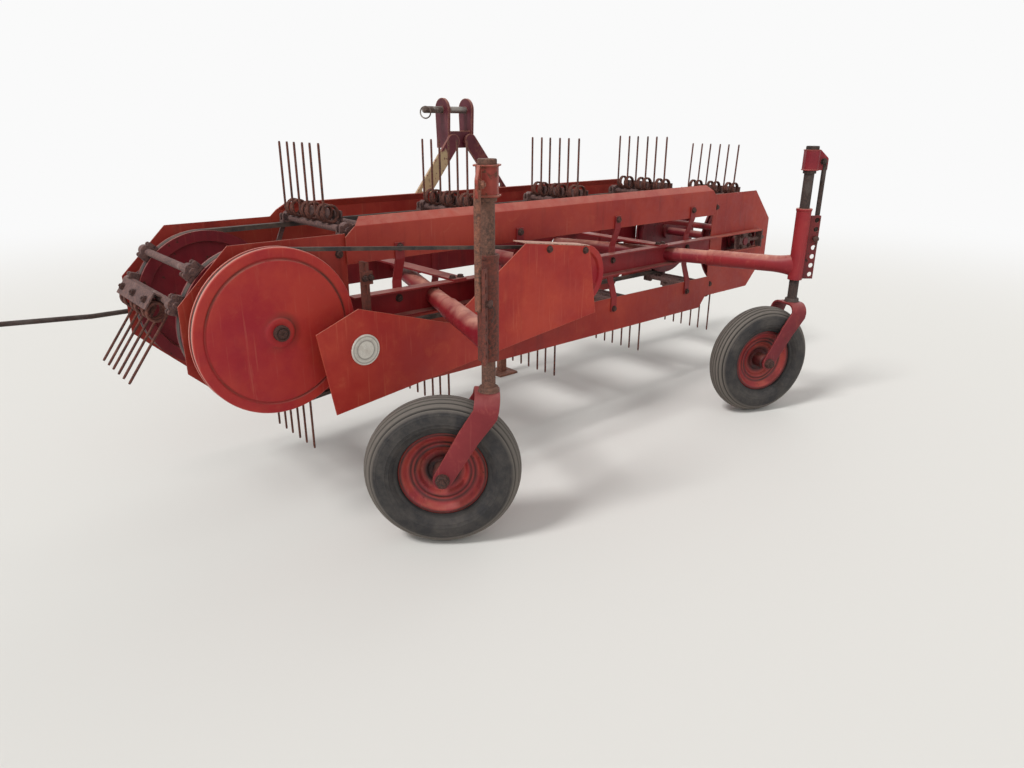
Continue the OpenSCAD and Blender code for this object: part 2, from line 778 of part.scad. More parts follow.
// Caster: the post with its stop rings, and a fork with two raking legs to the axle
crown_top = 424;
crown_t = 12;
leg_in = tyre_w / 2 + 6;
fork_t = 8;
module caster() {
    crown_z = crown_top - crown_t;
    knee = [trail * 0.42, tyre_r + 118];
    rod_z(post_r, 0, 0, crown_z, bracket_top + 12);
    rod_z(post_r + 7, 0, 0, crown_top - 1, crown_top + 10);
    rod_z(post_r + 5, 0, 0, bracket_low - 10.3, bracket_low - gap);
    rod_z(post_r + 5, 0, 0, bracket_top + gap, bracket_top + 12);
    block(-30, 38, -leg_in - fork_t, leg_in + fork_t, crown_z, crown_top);
    for (y = [leg_in, -leg_in - fork_t])
        sheet_xz(y, y + fork_t) {
            link2d([4, crown_top - 34], knee, 32, 29);
            link2d(knee, [trail, tyre_r], 29, 25);
            translate([-28, crown_top - 40]) square([64, 40]);
        }
    rod_y(axle_r, trail, -leg_in - fork_t - 14, leg_in + fork_t + 14, tyre_r);
}
module at_post(side, swing) {
    translate([side * post_x, -half_gap - post_y, 0]) rotate([0, 0, swing]) children();
}
module caster_left() {
    color(red) at_post(-1, left_swing) caster();
}
module caster_right() {
    color(red) at_post(1, right_swing) caster();
}

// Ribbed tyre: a rounded section with four grooves round it
groove_w = 3;
groove_deep = 8;
groove_pitch = 16;
module tyre() {
    half = tyre_w / 2;
    bead = 30;
    rotate_extrude($fn = 96) difference() {
        union() {
            translate([tyre_r - half, 0]) intersection() {
                circle(r = half, $fn = 64);
                translate([-20, -half]) square([half + 30, 2 * half]);
            }
            polygon([[rim_r - 6, -bead], [rim_r + 8, -bead - 10], [tyre_r - 66, -half + 2],
                [tyre_r - 66, half - 2], [rim_r + 8, bead + 10], [rim_r - 6, bead]]);
        }
        for (k = [-1.5:1:1.5])
            translate([tyre_r - groove_deep, k * groove_pitch - groove_w / 2]) square([20, groove_w]);
    }
}
module at_wheel(side, swing) {
    at_post(side, swing) translate([trail, 0, tyre_r]) rotate([90, 0, 0]) children();
}
module tyre_left() {
    color(rubber) at_wheel(-1, left_swing) tyre();
}
module tyre_right() {
    color(rubber) at_wheel(1, right_swing) tyre();
}
// Dished rim with stepped rings and a hub
module rim() {
    hub_r = 26;
    hub_half = tyre_w / 2 - 1;
    edge = rim_r - 6 - gap;
    bore = axle_r + 0.06;
    step = edge - 53.7;
    lip = 29;
    rotate_extrude($fn = 96) polygon([
        [bore, -hub_half], [hub_r, -hub_half], [hub_r, 4], [step, 4], [step + 8, -12], [edge - 26, -16],
        [edge - 10, -lip], [edge, -lip], [edge, lip], [edge - 10, lip], [edge - 12, 24], [edge - 22, -8],
        [step + 12, -4], [step + 4, 12], [hub_r, 12], [hub_r, hub_half], [bore, hub_half]]);
}
module rim_left() {
    color(red) at_wheel(-1, left_swing) rim();
}
module rim_right() {
    color(red) at_wheel(1, right_swing) rim();
}

// Parking leg: a square tube with a foot, in a socket on the front channel
stand_x = 160;
stand_y = flange_out + 40;
module stand_socket() {
    half = leg_w / 2 + 0.4 + 4;
    inner = leg_w / 2 + 0.4;
    color(red) difference() {
        union() {
            block(stand_x - half, stand_x + half, stand_y - half, stand_y + half,
                channel_low - 60, channel_top + 20);
            block(stand_x - 25, stand_x + 25, flange_out, stand_y - half + 1, channel_low, channel_top);
        }
        block(stand_x - inner, stand_x + inner, stand_y - inner, stand_y + inner,
            channel_low - 80, channel_top + 40);
    }
}
module stand_leg() {
    color(rust) {
        block(stand_x - leg_w / 2, stand_x + leg_w / 2, stand_y - leg_w / 2, stand_y + leg_w / 2,
            6, channel_top + 120);
        block(stand_x - 50, stand_x + 50, stand_y - 50, stand_y + 50, 0, 8);
    }
}

// The origin lies on the ground under the middle of the machine's box
x_low = rod_kink_x + 1 - rod_out * cos(rod_rise) - rod_r * sin(rod_rise);
tube_r = tyre_w / 2;
function tyre_back(swing) = -half_gap - post_y + trail * sin(swing)
    - (tyre_r - tube_r) * abs(sin(swing)) - tube_r;
y_low = min(tyre_back(left_swing), tyre_back(right_swing));
mid_x = (half_span + x_low) / 2;
mid_y = (stub_end + y_low) / 2;
module in_frame() {
    translate([-mid_x, -mid_y, 0]) children();
}

in_frame() front_channel();
in_frame() rear_channel();
in_frame() cross_members();
in_frame() shaft_housing();
in_frame() headstock();
in_frame() lower_hitch();
in_frame() hitch_pins();
in_frame() front_plate_left();
in_frame() front_plate_right();
in_frame() rear_plate_left();
in_frame() rear_plate_right();
in_frame() front_shield_upper();
in_frame() front_shield_lower();
in_frame() rear_shield_upper();
in_frame() rear_shield_lower();
in_frame() shield_straps();
in_frame() clamp_bracket();
in_frame() roller_left();
in_frame() roller_right();
in_frame() bearings_left();
in_frame() belt_tensioners();
in_frame() tine_belts();
in_frame() tine_bars();
in_frame() tines();
in_frame() drive_shaft();
in_frame() driven_disc();
in_frame() drive_belt();
in_frame() belt_guard();
in_frame() guard_cover();
in_frame() reflector();
in_frame() swath_rod();
in_frame() arm_left();
in_frame() arm_right();
in_frame() arm_head_left();
in_frame() arm_head_right();
in_frame() lock_bracket_left();
in_frame() lock_bracket_right();
in_frame() caster_left();
in_frame() caster_right();
in_frame() tyre_left();
in_frame() tyre_right();
in_frame() rim_left();
in_frame() rim_right();
in_frame() stand_socket();
in_frame() stand_leg();
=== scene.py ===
# Belt rake on two caster wheels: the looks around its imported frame. Metres, Z up, +Y towards the hitch.
import math
import bmesh
import bpy
import numpy as np
from mathutils import Matrix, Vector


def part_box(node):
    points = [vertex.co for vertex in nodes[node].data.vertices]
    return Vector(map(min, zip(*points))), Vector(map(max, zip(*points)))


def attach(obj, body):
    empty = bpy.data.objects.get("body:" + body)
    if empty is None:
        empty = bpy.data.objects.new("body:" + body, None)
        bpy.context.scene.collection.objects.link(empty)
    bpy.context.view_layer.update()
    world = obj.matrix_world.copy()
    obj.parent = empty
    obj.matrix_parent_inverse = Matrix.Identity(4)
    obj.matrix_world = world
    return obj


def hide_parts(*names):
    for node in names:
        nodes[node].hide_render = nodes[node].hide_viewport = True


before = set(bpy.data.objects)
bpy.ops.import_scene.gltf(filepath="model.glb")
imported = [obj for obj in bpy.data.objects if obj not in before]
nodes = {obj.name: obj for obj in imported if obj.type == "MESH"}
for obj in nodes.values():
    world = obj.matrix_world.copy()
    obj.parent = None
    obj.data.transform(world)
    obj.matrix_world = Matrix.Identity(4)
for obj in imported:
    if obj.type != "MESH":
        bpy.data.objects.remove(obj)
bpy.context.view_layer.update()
print("frame loaded:", len(nodes), "nodes")

# The machine's own millimetres start at its middle, between the walls and on the ground.
machine = {"halfSpan": 1315, "halfGap": 240, "shaftHeight": 557, "halfShaft": 1104}
middle = np.array([machine["halfSpan"] - 1000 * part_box("rear_plate_right")[1].x,
                   -machine["halfGap"] - 1000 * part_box("rear_plate_left")[0].y, 0])


def toFrame(points):
    # machine millimetres to frame metres: take off the middle of the machine's box, divide by 1000
    return (np.asarray(points, float) - middle) / 1000


def newObject(name, data, place=None):
    # puts a mesh, lamp or camera in the scene, at a 4 x 4 place where it is given one
    made = bpy.data.objects.new(name, data)
    bpy.context.scene.collection.objects.link(made)
    if place is not None:
        made.matrix_world = Matrix(place.tolist())
    return made


# camera
cameraFit = {"place": (-1817, -2014, 1062), "azimuth": 41.26, "pitch": 20.12, "roll": 0.256,
             "focalPixels": 721.3, "imageWidth": 1024, "sensor": 36}


def makeCamera(fit):
    # forward (sin A cos P, cos A cos P, -sin P), right (cos A, -sin A, 0), up = right x forward; right and up
    # are then rolled by R
    azimuth, pitch, roll = (math.radians(fit[key]) for key in ("azimuth", "pitch", "roll"))
    level = math.cos(pitch)
    forward = np.array([math.sin(azimuth) * level, math.cos(azimuth) * level, -math.sin(pitch)])
    right = np.array([math.cos(azimuth), -math.sin(azimuth), 0])
    up = np.cross(right, forward)
    place = np.eye(4)
    place[:3, 0] = right * math.cos(roll) + up * math.sin(roll)
    place[:3, 1] = up * math.cos(roll) - right * math.sin(roll)
    place[:3, 2] = -forward
    place[:3, 3] = toFrame(fit["place"])
    data = bpy.data.cameras.new("camera")
    data.sensor_width = fit["sensor"]
    data.lens = fit["focalPixels"] * fit["sensor"] / fit["imageWidth"]
    data.dof.use_dof = False
    bpy.context.scene.camera = newObject("camera", data, place)


makeCamera(cameraFit)
bpy.context.scene.view_settings.view_transform = "Standard"


# materials
def linear(code):
    # sRGB hex to linear: ((c + 0.055) / 1.055) ^ 2.4 above 0.04045, else c / 12.92
    parts = [int(code[i:i + 2], 16) / 255 for i in (0, 2, 4)]
    return [((c + 0.055) / 1.055) ** 2.4 if c > 0.04045 else c / 12.92 for c in parts] + [1]


def setInputs(tree, node, values):
    # links each input that is given a socket and sets each one that is given a value, by name or number
    for key, value in values.items():
        if isinstance(value, bpy.types.NodeSocket):
            tree.links.new(value, node.inputs[key])
        else:
            node.inputs[key].default_value = value


def add(tree, kind, values=None, **settings):
    # adds one node, sets its properties, then its inputs
    node = tree.nodes.new(kind)
    for key, value in settings.items():
        setattr(node, key, value)
    setInputs(tree, node, values or {})
    return node


def newMaterial(name, roughness):
    # a new material, its node tree and its Principled shader, whose roughness is set
    material = bpy.data.materials.new(name)
    material.use_nodes = True
    shader = material.node_tree.nodes["Principled BSDF"]
    shader.inputs["Roughness"].default_value = roughness
    return material, material.node_tree, shader


def oldEnamel(look):
    # Brushed alkyd enamel on steel sheet, years outdoors: chalky and uneven in colour, dark runs below
    # joints, rust where it has chipped, bare edges, and pale dust on what faces up; the pale edges and the
    # dust also paint light on edges and top faces, and marked places get painted shade or a painted
    # highlight.
    material, tree, shader = newMaterial(look["name"], look["roughness"])
    coords = add(tree, "ShaderNodeTexCoord").outputs["Object"]
    normal = add(tree, "ShaderNodeNewGeometry").outputs["Normal"]
    upward = add(tree, "ShaderNodeSeparateXYZ", {0: normal}).outputs["Z"]
    rimHighlight, paintedShade = (add(tree, "ShaderNodeAttribute", attribute_name=mark).outputs["Fac"]
                    for mark in ("rimHighlight", "paintedShade"))
    # runs are drawn out along Z, and so are the scratches of hay and handling, which lean a little
    runs = add(tree, "ShaderNodeMapping", {"Vector": coords,
                                           "Scale": (1, 1, look["streakSquash"])}).outputs[0]
    leaning = add(tree, "ShaderNodeMapping", {"Vector": coords, "Rotation": (0, 0.3, 0),
                                              "Scale": (1, 1, 0.05)}).outputs[0]
    noise = {}
    for mark, vector, detail, roughness, distortion in (
            ("patch", coords, 6, 0.62, 0), ("streak", runs, 5, 0.6, 0), ("scuff", coords, 8, 0.72, 0.6),
            ("chip", coords, 9, 0.7, 0), ("scratch", leaning, 3, 0.5, 0)):
        noise[mark] = add(tree, "ShaderNodeTexNoise", {
            "Vector": vector, "Scale": 1000 / look[mark + "Mm"], "Detail": detail, "Roughness": roughness,
            "Distortion": distortion}).outputs["Fac"]
    # an edge is where the normal, rounded over a few millimetres, leaves the face's own
    rounded = add(tree, "ShaderNodeBevel", {"Radius": look["edgeMm"] / 1000}, samples=4).outputs[0]
    sameWay = add(tree, "ShaderNodeVectorMath", {0: rounded, 1: normal}, operation="DOT_PRODUCT")
    edge = add(tree, "ShaderNodeMapRange", {"Value": sameWay.outputs["Value"], "From Min": 0.97,
                                            "From Max": 0.8}).outputs[0]
    chipLevel = add(tree, "ShaderNodeMath", {0: edge, 1: look["edgeWear"], 2: noise["chip"]},
                    operation="MULTIPLY_ADD").outputs[0]
    share = {}
    for mark, value, low, high, least, most in (
            ("patch", noise["patch"], 0.38, 0.62, 0, 1),
            ("streak", noise["streak"], 0.56, 0.8, 0, look["streakShare"]),
            ("scuff", noise["scuff"], 0.56, 0.7, 0, look["scuffShare"]),
            ("chip", chipLevel, look["chipFrom"], look["chipFrom"] + 0.035, 0, 1),
            ("scratch", noise["scratch"], 0.63, 0.74, 0, look["scratchShare"]),
            # painted shade: where a recess is marked, the colour darkens towards the grime colour, mottled by
            # this noise
            ("shadeMottle", noise["patch"], 0.42, 0.62, look["recessShade"], 1),
            # dust on up-facing faces, which also paints the top faces lighter as painted light
            ("level", upward, 0.35, 0.95, 0, look["dustShare"]),
            ("settled", noise["scuff"], 0.3, 0.6, 0, 1),
            ("gloss", noise["scuff"], 0.35, 0.65, look["roughness"] - 0.1, look["roughness"] + 0.14)):
        share[mark] = add(tree, "ShaderNodeMapRange", {"Value": value, "From Min": low, "From Max": high,
                                                       "To Min": least, "To Max": most}).outputs[0]
    # the pale edges are worn paint and also a painted highlight along the edges
    for mark, one, other in (("pale", edge, look["edgeChalkAndHighlight"]), ("paintedHighlight", rimHighlight, 0.75),
                             ("recessShade", paintedShade, share["shadeMottle"]), ("dust", share["level"], share["settled"])):
        share[mark] = add(tree, "ShaderNodeMath", {0: one, 1: other}, operation="MULTIPLY").outputs[0]
    if "band" in look:
        # one coat worn through to another between two heights and left of a line, with a ragged border
        place = add(tree, "ShaderNodeSeparateXYZ", {0: coords}).outputs
        ragged = add(tree, "ShaderNodeMath", {0: noise["scuff"], 1: 0.3, 2: place["Z"]},
                     operation="MULTIPLY_ADD").outputs[0]
        share["band"] = 1
        for value, none, full in ((ragged, look["bandLow"], look["bandLow"] + 0.03),
                                  (ragged, look["bandHigh"] + 0.02, look["bandHigh"]),
                                  (place["X"], look["bandRight"] + 0.012, look["bandRight"]),
                                  (chipLevel, 0.62, 0.57)):
            side = add(tree, "ShaderNodeMapRange", {"Value": value, "From Min": none, "From Max": full})
            share["band"] = add(tree, "ShaderNodeMath", {0: share["band"], 1: side.outputs[0]},
                                operation="MULTIPLY").outputs[0]
    colour = linear(look["fresh"])
    for mark, coat in (("patch", "faded"), ("streak", "grime"), ("scuff", "chalk"), ("chip", "rust"),
                       # the marked rim corners take a pale colour as a painted highlight, and the marked
                       # recesses take the grime colour as painted shade
                       ("scratch", "chalk"), ("pale", "chalk"), ("paintedHighlight", "paintedHighlight"), ("recessShade", "grime"),
                       ("band", "band"), ("dust", "dust")):
        if mark in share:
            colour = add(tree, "ShaderNodeMix", {0: share[mark], 6: colour, 7: linear(look[coat])},
                         data_type="RGBA").outputs[2]
    rough = add(tree, "ShaderNodeMix", {0: share["chip"], 2: share["gloss"], 3: 0.9}, data_type="FLOAT")
    # the sheet's slow dents, then the chips' depth under the paint film
    softEdge = add(tree, "ShaderNodeBevel", {"Radius": 0.0014}, samples=4).outputs[0]
    dents = add(tree, "ShaderNodeBump", {"Height": noise["patch"], "Distance": look["dentMm"] / 1000,
                                         "Strength": 0.5, "Normal": softEdge}).outputs[0]
    flaked = add(tree, "ShaderNodeBump", {"Height": share["chip"], "Distance": 0.0006, "Strength": 0.6,
                                          "Normal": dents}, invert=True).outputs[0]
    setInputs(tree, shader, {"Base Color": colour, "Roughness": rough.outputs[0], "Normal": flaked,
                             "Specular IOR Level": 0.36})
    return material


def rustySteel(look):
    # Mild steel with an even skin of dry rust: browns in three grains, mat, rough to the touch,
    # with polished places where hay or a sliding fit rubs it.
    material, tree, shader = newMaterial(look["name"], 0.85)
    coords = add(tree, "ShaderNodeTexCoord").outputs["Object"]
    wide, fine = (add(tree, "ShaderNodeTexNoise", {"Vector": coords, "Scale": 1000 / size, "Detail": detail,
                                                   "Roughness": roughness}).outputs["Fac"]
                  for size, detail, roughness in ((look["patchMm"], 7, 0.65), (look["grainMm"], 8, 0.75)))
    colour = linear(look["dark"])
    for value, low, high, most, coat in (
            (wide, 0.36, 0.64, 1, "brown"), (fine, 0.42, 0.66, 1, "orange"),
            (wide, look["rubbedFrom"], look["rubbedFrom"] + 0.08, look["rubbedShare"], "bare")):
        share = add(tree, "ShaderNodeMapRange", {"Value": value, "From Min": low, "From Max": high,
                                                 "To Max": most}).outputs[0]
        colour = add(tree, "ShaderNodeMix", {0: share, 6: colour, 7: linear(look[coat])},
                     data_type="RGBA").outputs[2]
    # the last share is how far a place is rubbed bare: metal there, and smoother
    rough = add(tree, "ShaderNodeMix", {0: share, 2: 0.86, 3: 0.42}, data_type="FLOAT").outputs[0]
    bump = add(tree, "ShaderNodeBump", {"Height": fine, "Distance": 0.0007, "Strength": 0.7}).outputs[0]
    setInputs(tree, shader, {"Base Color": colour, "Metallic": share, "Roughness": rough, "Normal": bump})
    return material


def oldRubber(look):
    # Vulcanised rubber, sun-bleached to a dull charcoal, with dried mud dust that stays in its low places.
    # Two marks of the piece's own: grooves darkened as painted shade, and a tread paler from the road
    # than the side walls, which also stands for painted light on the tread.
    material, tree, shader = newMaterial(look["name"], 0.8)
    coords = add(tree, "ShaderNodeTexCoord").outputs["Object"]
    wide, fine = (add(tree, "ShaderNodeTexNoise", {"Vector": coords, "Scale": 1000 / size, "Detail": detail,
                                                   "Roughness": roughness}).outputs["Fac"]
                  for size, detail, roughness in ((look["patchMm"], 8, 0.7), (look["grainMm"], 6, 0.8)))
    dusty, specks, rough = (
        add(tree, "ShaderNodeMapRange", {"Value": value, "From Min": low, "From Max": high, "To Min": least,
                                         "To Max": most}).outputs[0]
        for value, low, high, least, most in ((wide, 0.4, 0.68, 0, look["dustShare"]),
                                              (fine, 0.6, 0.72, 0, 0.35), (wide, 0, 1, 0.68, 0.95)))
    # painted shade: the marked grooves are darkened towards a near-black colour
    paintedShade, tread = (add(tree, "ShaderNodeAttribute", attribute_name=mark).outputs["Fac"]
                     for mark in ("paintedShade", "tread"))
    # the tread made paler: road dust, and also painted light on the tread
    pale = add(tree, "ShaderNodeMath", {0: tread, 1: look["treadDustAndHighlight"]}, operation="MULTIPLY").outputs[0]
    colour = linear(look["rubber"])
    for share, coat in ((dusty, "dust"), (specks, "dust"), (pale, "dust"), (paintedShade, "grooveShade")):
        colour = add(tree, "ShaderNodeMix", {0: share, 6: colour, 7: linear(look[coat])},
                     data_type="RGBA").outputs[2]
    bump = add(tree, "ShaderNodeBump", {"Height": fine, "Distance": 0.0005, "Strength": 0.6}).outputs[0]
    setInputs(tree, shader, {"Base Color": colour, "Roughness": rough, "Normal": bump})
    return material


def agedLens(look):
    # Moulded acrylic, milky with age: small prism cells behind a smooth face, soft gloss, grime, and painted
    # shade in its two ring grooves.
    material, tree, shader = newMaterial(look["name"], 0.3)
    coords = add(tree, "ShaderNodeTexCoord").outputs["Object"]
    cells = add(tree, "ShaderNodeTexVoronoi", {"Vector": coords, "Scale": 1000 / look["cellMm"]})
    cells = cells.outputs["Distance"]
    grime = add(tree, "ShaderNodeTexNoise", {"Vector": coords, "Scale": 1000 / look["grimeMm"],
                                             "Detail": 6}).outputs["Fac"]
    inCells, grimy = (add(tree, "ShaderNodeMapRange", {"Value": value, "From Min": low, "From Max": high,
                                                       "To Max": 0.5}).outputs[0]
                      for value, low, high in ((cells, 0, 1), (grime, 0.5, 0.75)))
    # painted shade: the two ring grooves darken towards the ring colour
    paintedShade = add(tree, "ShaderNodeAttribute", attribute_name="paintedShade").outputs["Fac"]
    colour = linear(look["face"])
    for share, coat in ((inCells, "cell"), (grimy, "grime"), (paintedShade, "ring")):
        colour = add(tree, "ShaderNodeMix", {0: share, 6: colour, 7: linear(look[coat])},
                     data_type="RGBA").outputs[2]
    bump = add(tree, "ShaderNodeBump", {"Height": cells, "Distance": 0.0004, "Strength": 0.5}).outputs[0]
    setInputs(tree, shader, {"Base Color": colour, "Normal": bump})
    return material


# looks: sRGB hex colours, sizes in millimetres, shares from 0 to 1; the slot names the kind of surface
# the wall's palest colour paints the highlight on marked rim corners, and its grime colour also the painted
# shade in marked recesses
wall = {"name": "faded brushed enamel on wall sheet", "slot": "red_paint", "fresh": "8C2018",
        "faded": "A03626", "grime": "40120E", "chalk": "B0604A", "rust": "40241A", "dust": "B07A6C",
        "paintedHighlight": "D49A8C", "roughness": 0.52, "patchMm": 240, "streakMm": 42, "streakSquash": 0.1,
        "streakShare": 0.5, "scuffMm": 60, "scuffShare": 0.3, "scratchMm": 8, "scratchShare": 0.3,
        "edgeMm": 4, "edgeWear": 0.13, "edgeChalkAndHighlight": 0.5, "chipMm": 16, "chipFrom": 0.67, "dustShare": 0.75,
        "dentMm": 1.2, "recessShade": 0.1}
# painted shade: a darker crimson copy of the wall enamel, for the channels and other parts that lie in shade
inner = dict(wall, name="shaded enamel on rolled channel", fresh="74101A", faded="861E20", grime="2C0A0E",
             chalk="8E423A", dust="A8786C", chipFrom=0.655)
# the arm's pale dust also paints its sunlit top as a painted highlight
arm = dict(wall, name="chalked enamel on drawn tube", fresh="74101E", faded="8E2226", chalk="AA5A4C",
           dust="CC9682", streakShare=0.4, chipFrom=0.66, dustShare=0.8)
enamels = {
    "wall": wall,
    "inner": inner,
    "arm": arm,
    "guard": dict(wall, name="faded brushed enamel on guard sheet", fresh="9A1E18", faded="B03A28",
                  chalk="C46A4C", streakShare=0.25, scuffShare=0.22, chipFrom=0.69),
    "disc": dict(wall, name="enamel on pressed steel disc", fresh="94101E", faded="AA3024", grime="4A241A",
                 chalk="B25A48", streakShare=0.18, patchMm=190, scuffShare=0.2, chipFrom=0.7, dentMm=0.5,
                 streakMm=60, streakSquash=0.5),
    "mast": dict(inner, name="worn enamel on flame-cut plate", band="B8A27C", bandLow=0.89, bandHigh=1.09,
                 bandRight=0.078, fresh="4C1420", faded="642630", chalk="A06C54", scuffShare=0.5, scuffMm=110,
                 chipFrom=0.64, edgeMm=7, edgeChalkAndHighlight=0.85),
    "bracket": dict(wall, name="flaking enamel on cut tube", slot="rusty_steel", fresh="7A2A22",
                    faded="943E30", grime="402420", chalk="B4745E", rust="5C3A2C", streakShare=0.6, chipMm=24,
                    chipFrom=0.57, patchMm=60),
    "cream": dict(wall, name="cream enamel on folded strip", fresh="B4887A", faded="C89C88", grime="6A3A30",
                  chalk="D8B8A6", rust="5A342A", dust="D2B0A0", streakShare=0.6, chipFrom=0.53),
    "holePlate": dict(inner, name="rusting enamel on drilled plate", fresh="4E1218", faded="6A1C1C",
                      rust="3A2420", chipFrom=0.58),
    "pulley": dict(inner, name="rusting enamel on welded pulley", chipFrom=0.6, fresh="640C1A",
                   faded="74161E"),
    "fork": dict(arm, name="enamel on bent flat bar", fresh="66141E", faded="7A2428", dust="9A5A54",
                 chipFrom=0.64, dustShare=0.5),
    # the rim's near-black grime colour and its high least share darken the marked dish as painted shade
    "rim": dict(arm, name="dusty enamel on pressed wheel disc", fresh="84242A", faded="983A30",
                grime="1E0E0E", chalk="A66A56", dust="A07060", streakShare=0.5, scuffShare=0.35, patchMm=60,
                chipFrom=0.63, dustShare=0.25, recessShade=0.7),
}
tineRust = {"name": "rusted spring steel wire", "slot": "rusty_steel", "dark": "2C1C1A", "brown": "583028",
            "orange": "784636", "bare": "84766E", "patchMm": 90, "grainMm": 7, "rubbedFrom": 0.6,
            "rubbedShare": 0.35}
rusts = {
    "tine": tineRust,
    "bar": dict(tineRust, name="rusted cast and drawn steel", dark="35272A", brown="5E4644", orange="7C5A50",
                bare="948A86", rubbedShare=0.45),
    "bolt": dict(tineRust, name="rusted bolt steel", dark="1E1414", brown="3A2420", orange="5C382C",
                 bare="6E6460", grainMm=4),
    "brown": dict(tineRust, name="brown rusted steel shaft", dark="3A2A24", brown="5E4236", orange="7C5444",
                  bare="5A504A", patchMm=80, rubbedShare=0.4),
    "post": dict(tineRust, name="rusted hot-rolled steel", dark="40302A", brown="7A4A3A", orange="96604A",
                 bare="6A5C50", patchMm=60, rubbedShare=0.3),
    "dark": dict(tineRust, name="oiled dark steel shaft", dark="221C1C", brown="3A2E2A", orange="4E3A32",
                 bare="5C5450", patchMm=120, rubbedShare=0.5, rubbedFrom=0.5),
    "sleeveRust": dict(tineRust, name="rusted tube with paint left in places", dark="38241E", brown="5E3228",
                       orange="7A3A2C", bare="4A3A34", patchMm=70, rubbedFrom=0.56, rubbedShare=0.4),
    "steel": dict(tineRust, name="worn turned steel", slot="worn_steel", dark="3E3634", brown="5C4E46",
                  orange="6E564A", bare="9C9690", rubbedFrom=0.44, rubbedShare=0.8, patchMm=50),
}
# the tyre's groove colour is painted shade, and its tread paleness is road dust and also painted light
rubbers = {
    "tyre": {"name": "vulcanised tyre rubber", "slot": "tyre_rubber", "rubber": "211F20", "dust": "827970",
             "grooveShade": "0E0E0E", "patchMm": 60, "grainMm": 3.5, "dustShare": 0.22, "treadDustAndHighlight": 0.5},
    "belt": {"name": "woven-back belt rubber", "rubber": "262323", "dust": "80695A", "grooveShade": "141212",
             "patchMm": 70, "grainMm": 4, "dustShare": 0.5, "treadDustAndHighlight": 0},
}
lenses = {"lens": {"name": "moulded acrylic lens", "slot": "reflector_white", "face": "DAD6CC",
                   "cell": "B4AEA4", "grime": "9A8878", "ring": "6E665E", "cellMm": 3.5, "grimeMm": 25}}
looks, finishes = {}, {}
for make, group in ((oldEnamel, enamels), (rustySteel, rusts), (oldRubber, rubbers), (agedLens, lenses)):
    looks.update(group)
    for finish, look in group.items():
        finishes[finish] = make(look)

nodeFinish = {
    "wall": ["rear_plate_left", "rear_plate_right", "front_plate_left", "front_plate_right",
             "rear_shield_upper", "rear_shield_lower", "front_shield_upper", "front_shield_lower"],
    "guard": ["belt_guard"],
    # parts painted with the darker crimson copy of the enamel, as painted shade
    "inner": ["front_channel", "rear_channel", "cross_members", "shaft_housing", "lower_hitch",
              "shield_straps", "stand_socket"],
    "mast": ["headstock"],
    "cream": ["guard_cover"],
    "arm": ["arm_left", "arm_right"],
    "pulley": ["roller_left", "roller_right"],
    "post": ["stand_leg"],
    "sleeveRust": ["clamp_bracket"],
    "bar": ["bearings_left", "belt_tensioners", "tine_bars"],
    "dark": ["swath_rod"],
    "steel": ["hitch_pins"],
    "belt": ["tine_belts", "drive_belt"],
}
for finish, names in nodeFinish.items():
    for name in names:
        nodes[name].data.materials.clear()
        nodes[name].data.materials.append(finishes[finish])
print("materials made:", len(finishes))


# shapes: each is (points, faces), in machine millimetres or a piece's own until a place in the frame moves it
def skin(grid, rowsClosed=False, columnsClosed=True):
    # the grid's points row by row, and quad (i, j), (i+1, j), (i+1, j+1), (i, j+1) for every cell, wrapping
    # round where the rows or columns are closed
    rows, columns = grid.shape[:2]
    i = np.arange(rows if rowsClosed else rows - 1)[:, None]
    j = np.arange(columns if columnsClosed else columns - 1)[None]
    across, down = (j + 1) % columns, (i + 1) % rows
    corners = [i * columns + j, down * columns + j, down * columns + across, i * columns + across]
    return grid.reshape(-1, 3), np.stack(np.broadcast_arrays(*corners), -1).reshape(-1, 4)


def roundedCorners(points, radius, steps=4):
    # corner P of a closed outline becomes (1-t)^2 A + 2t(1-t) P + t^2 B, where A and B lie a cut away from P
    # along its two sides
    points = np.asarray(points, float)
    toLast, toNext = np.roll(points, 1, 0) - points, np.roll(points, -1, 0) - points
    lastLength = np.linalg.norm(toLast, axis=1, keepdims=True)
    nextLength = np.linalg.norm(toNext, axis=1, keepdims=True)
    cut = np.minimum(radius, 0.42 * np.minimum(lastLength, nextLength))
    a, b = points + toLast / lastLength * cut, points + toNext / nextLength * cut
    t = np.linspace(0, 1, steps)[None, :, None]
    curve = (1 - t) ** 2 * a[:, None] + 2 * t * (1 - t) * points[:, None] + t ** 2 * b[:, None]
    return curve.reshape(-1, points.shape[1])


def circle(sides):
    # (cos a, sin a) at even steps of a
    a = np.arange(sides) * 2 * np.pi / sides
    return np.stack([np.cos(a), np.sin(a)], 1)


def revolved(profile, count, closed=True):
    # (r cos a, r sin a, h) for each angle a and profile point (r, h); the profile closes or ends on the axis
    r, h = np.asarray(profile, float).T
    turn = circle(count)
    return skin(np.stack([np.outer(turn[:, 0], r), np.outer(turn[:, 1], r), np.tile(h, (count, 1))], -1),
                True, closed)


def ringed(rings, count=48, closed=False):
    # ring (p, q, h) holds the points (p cos a, q sin a, h), where p and q may change with the angle; a ring
    # (r, h) has both at r
    u, v = circle(count).T
    grid = [np.stack([ring[0] * u, ring[-2] * v, np.full(count, float(ring[-1]))], -1) for ring in rings]
    return skin(np.stack(grid), closed)


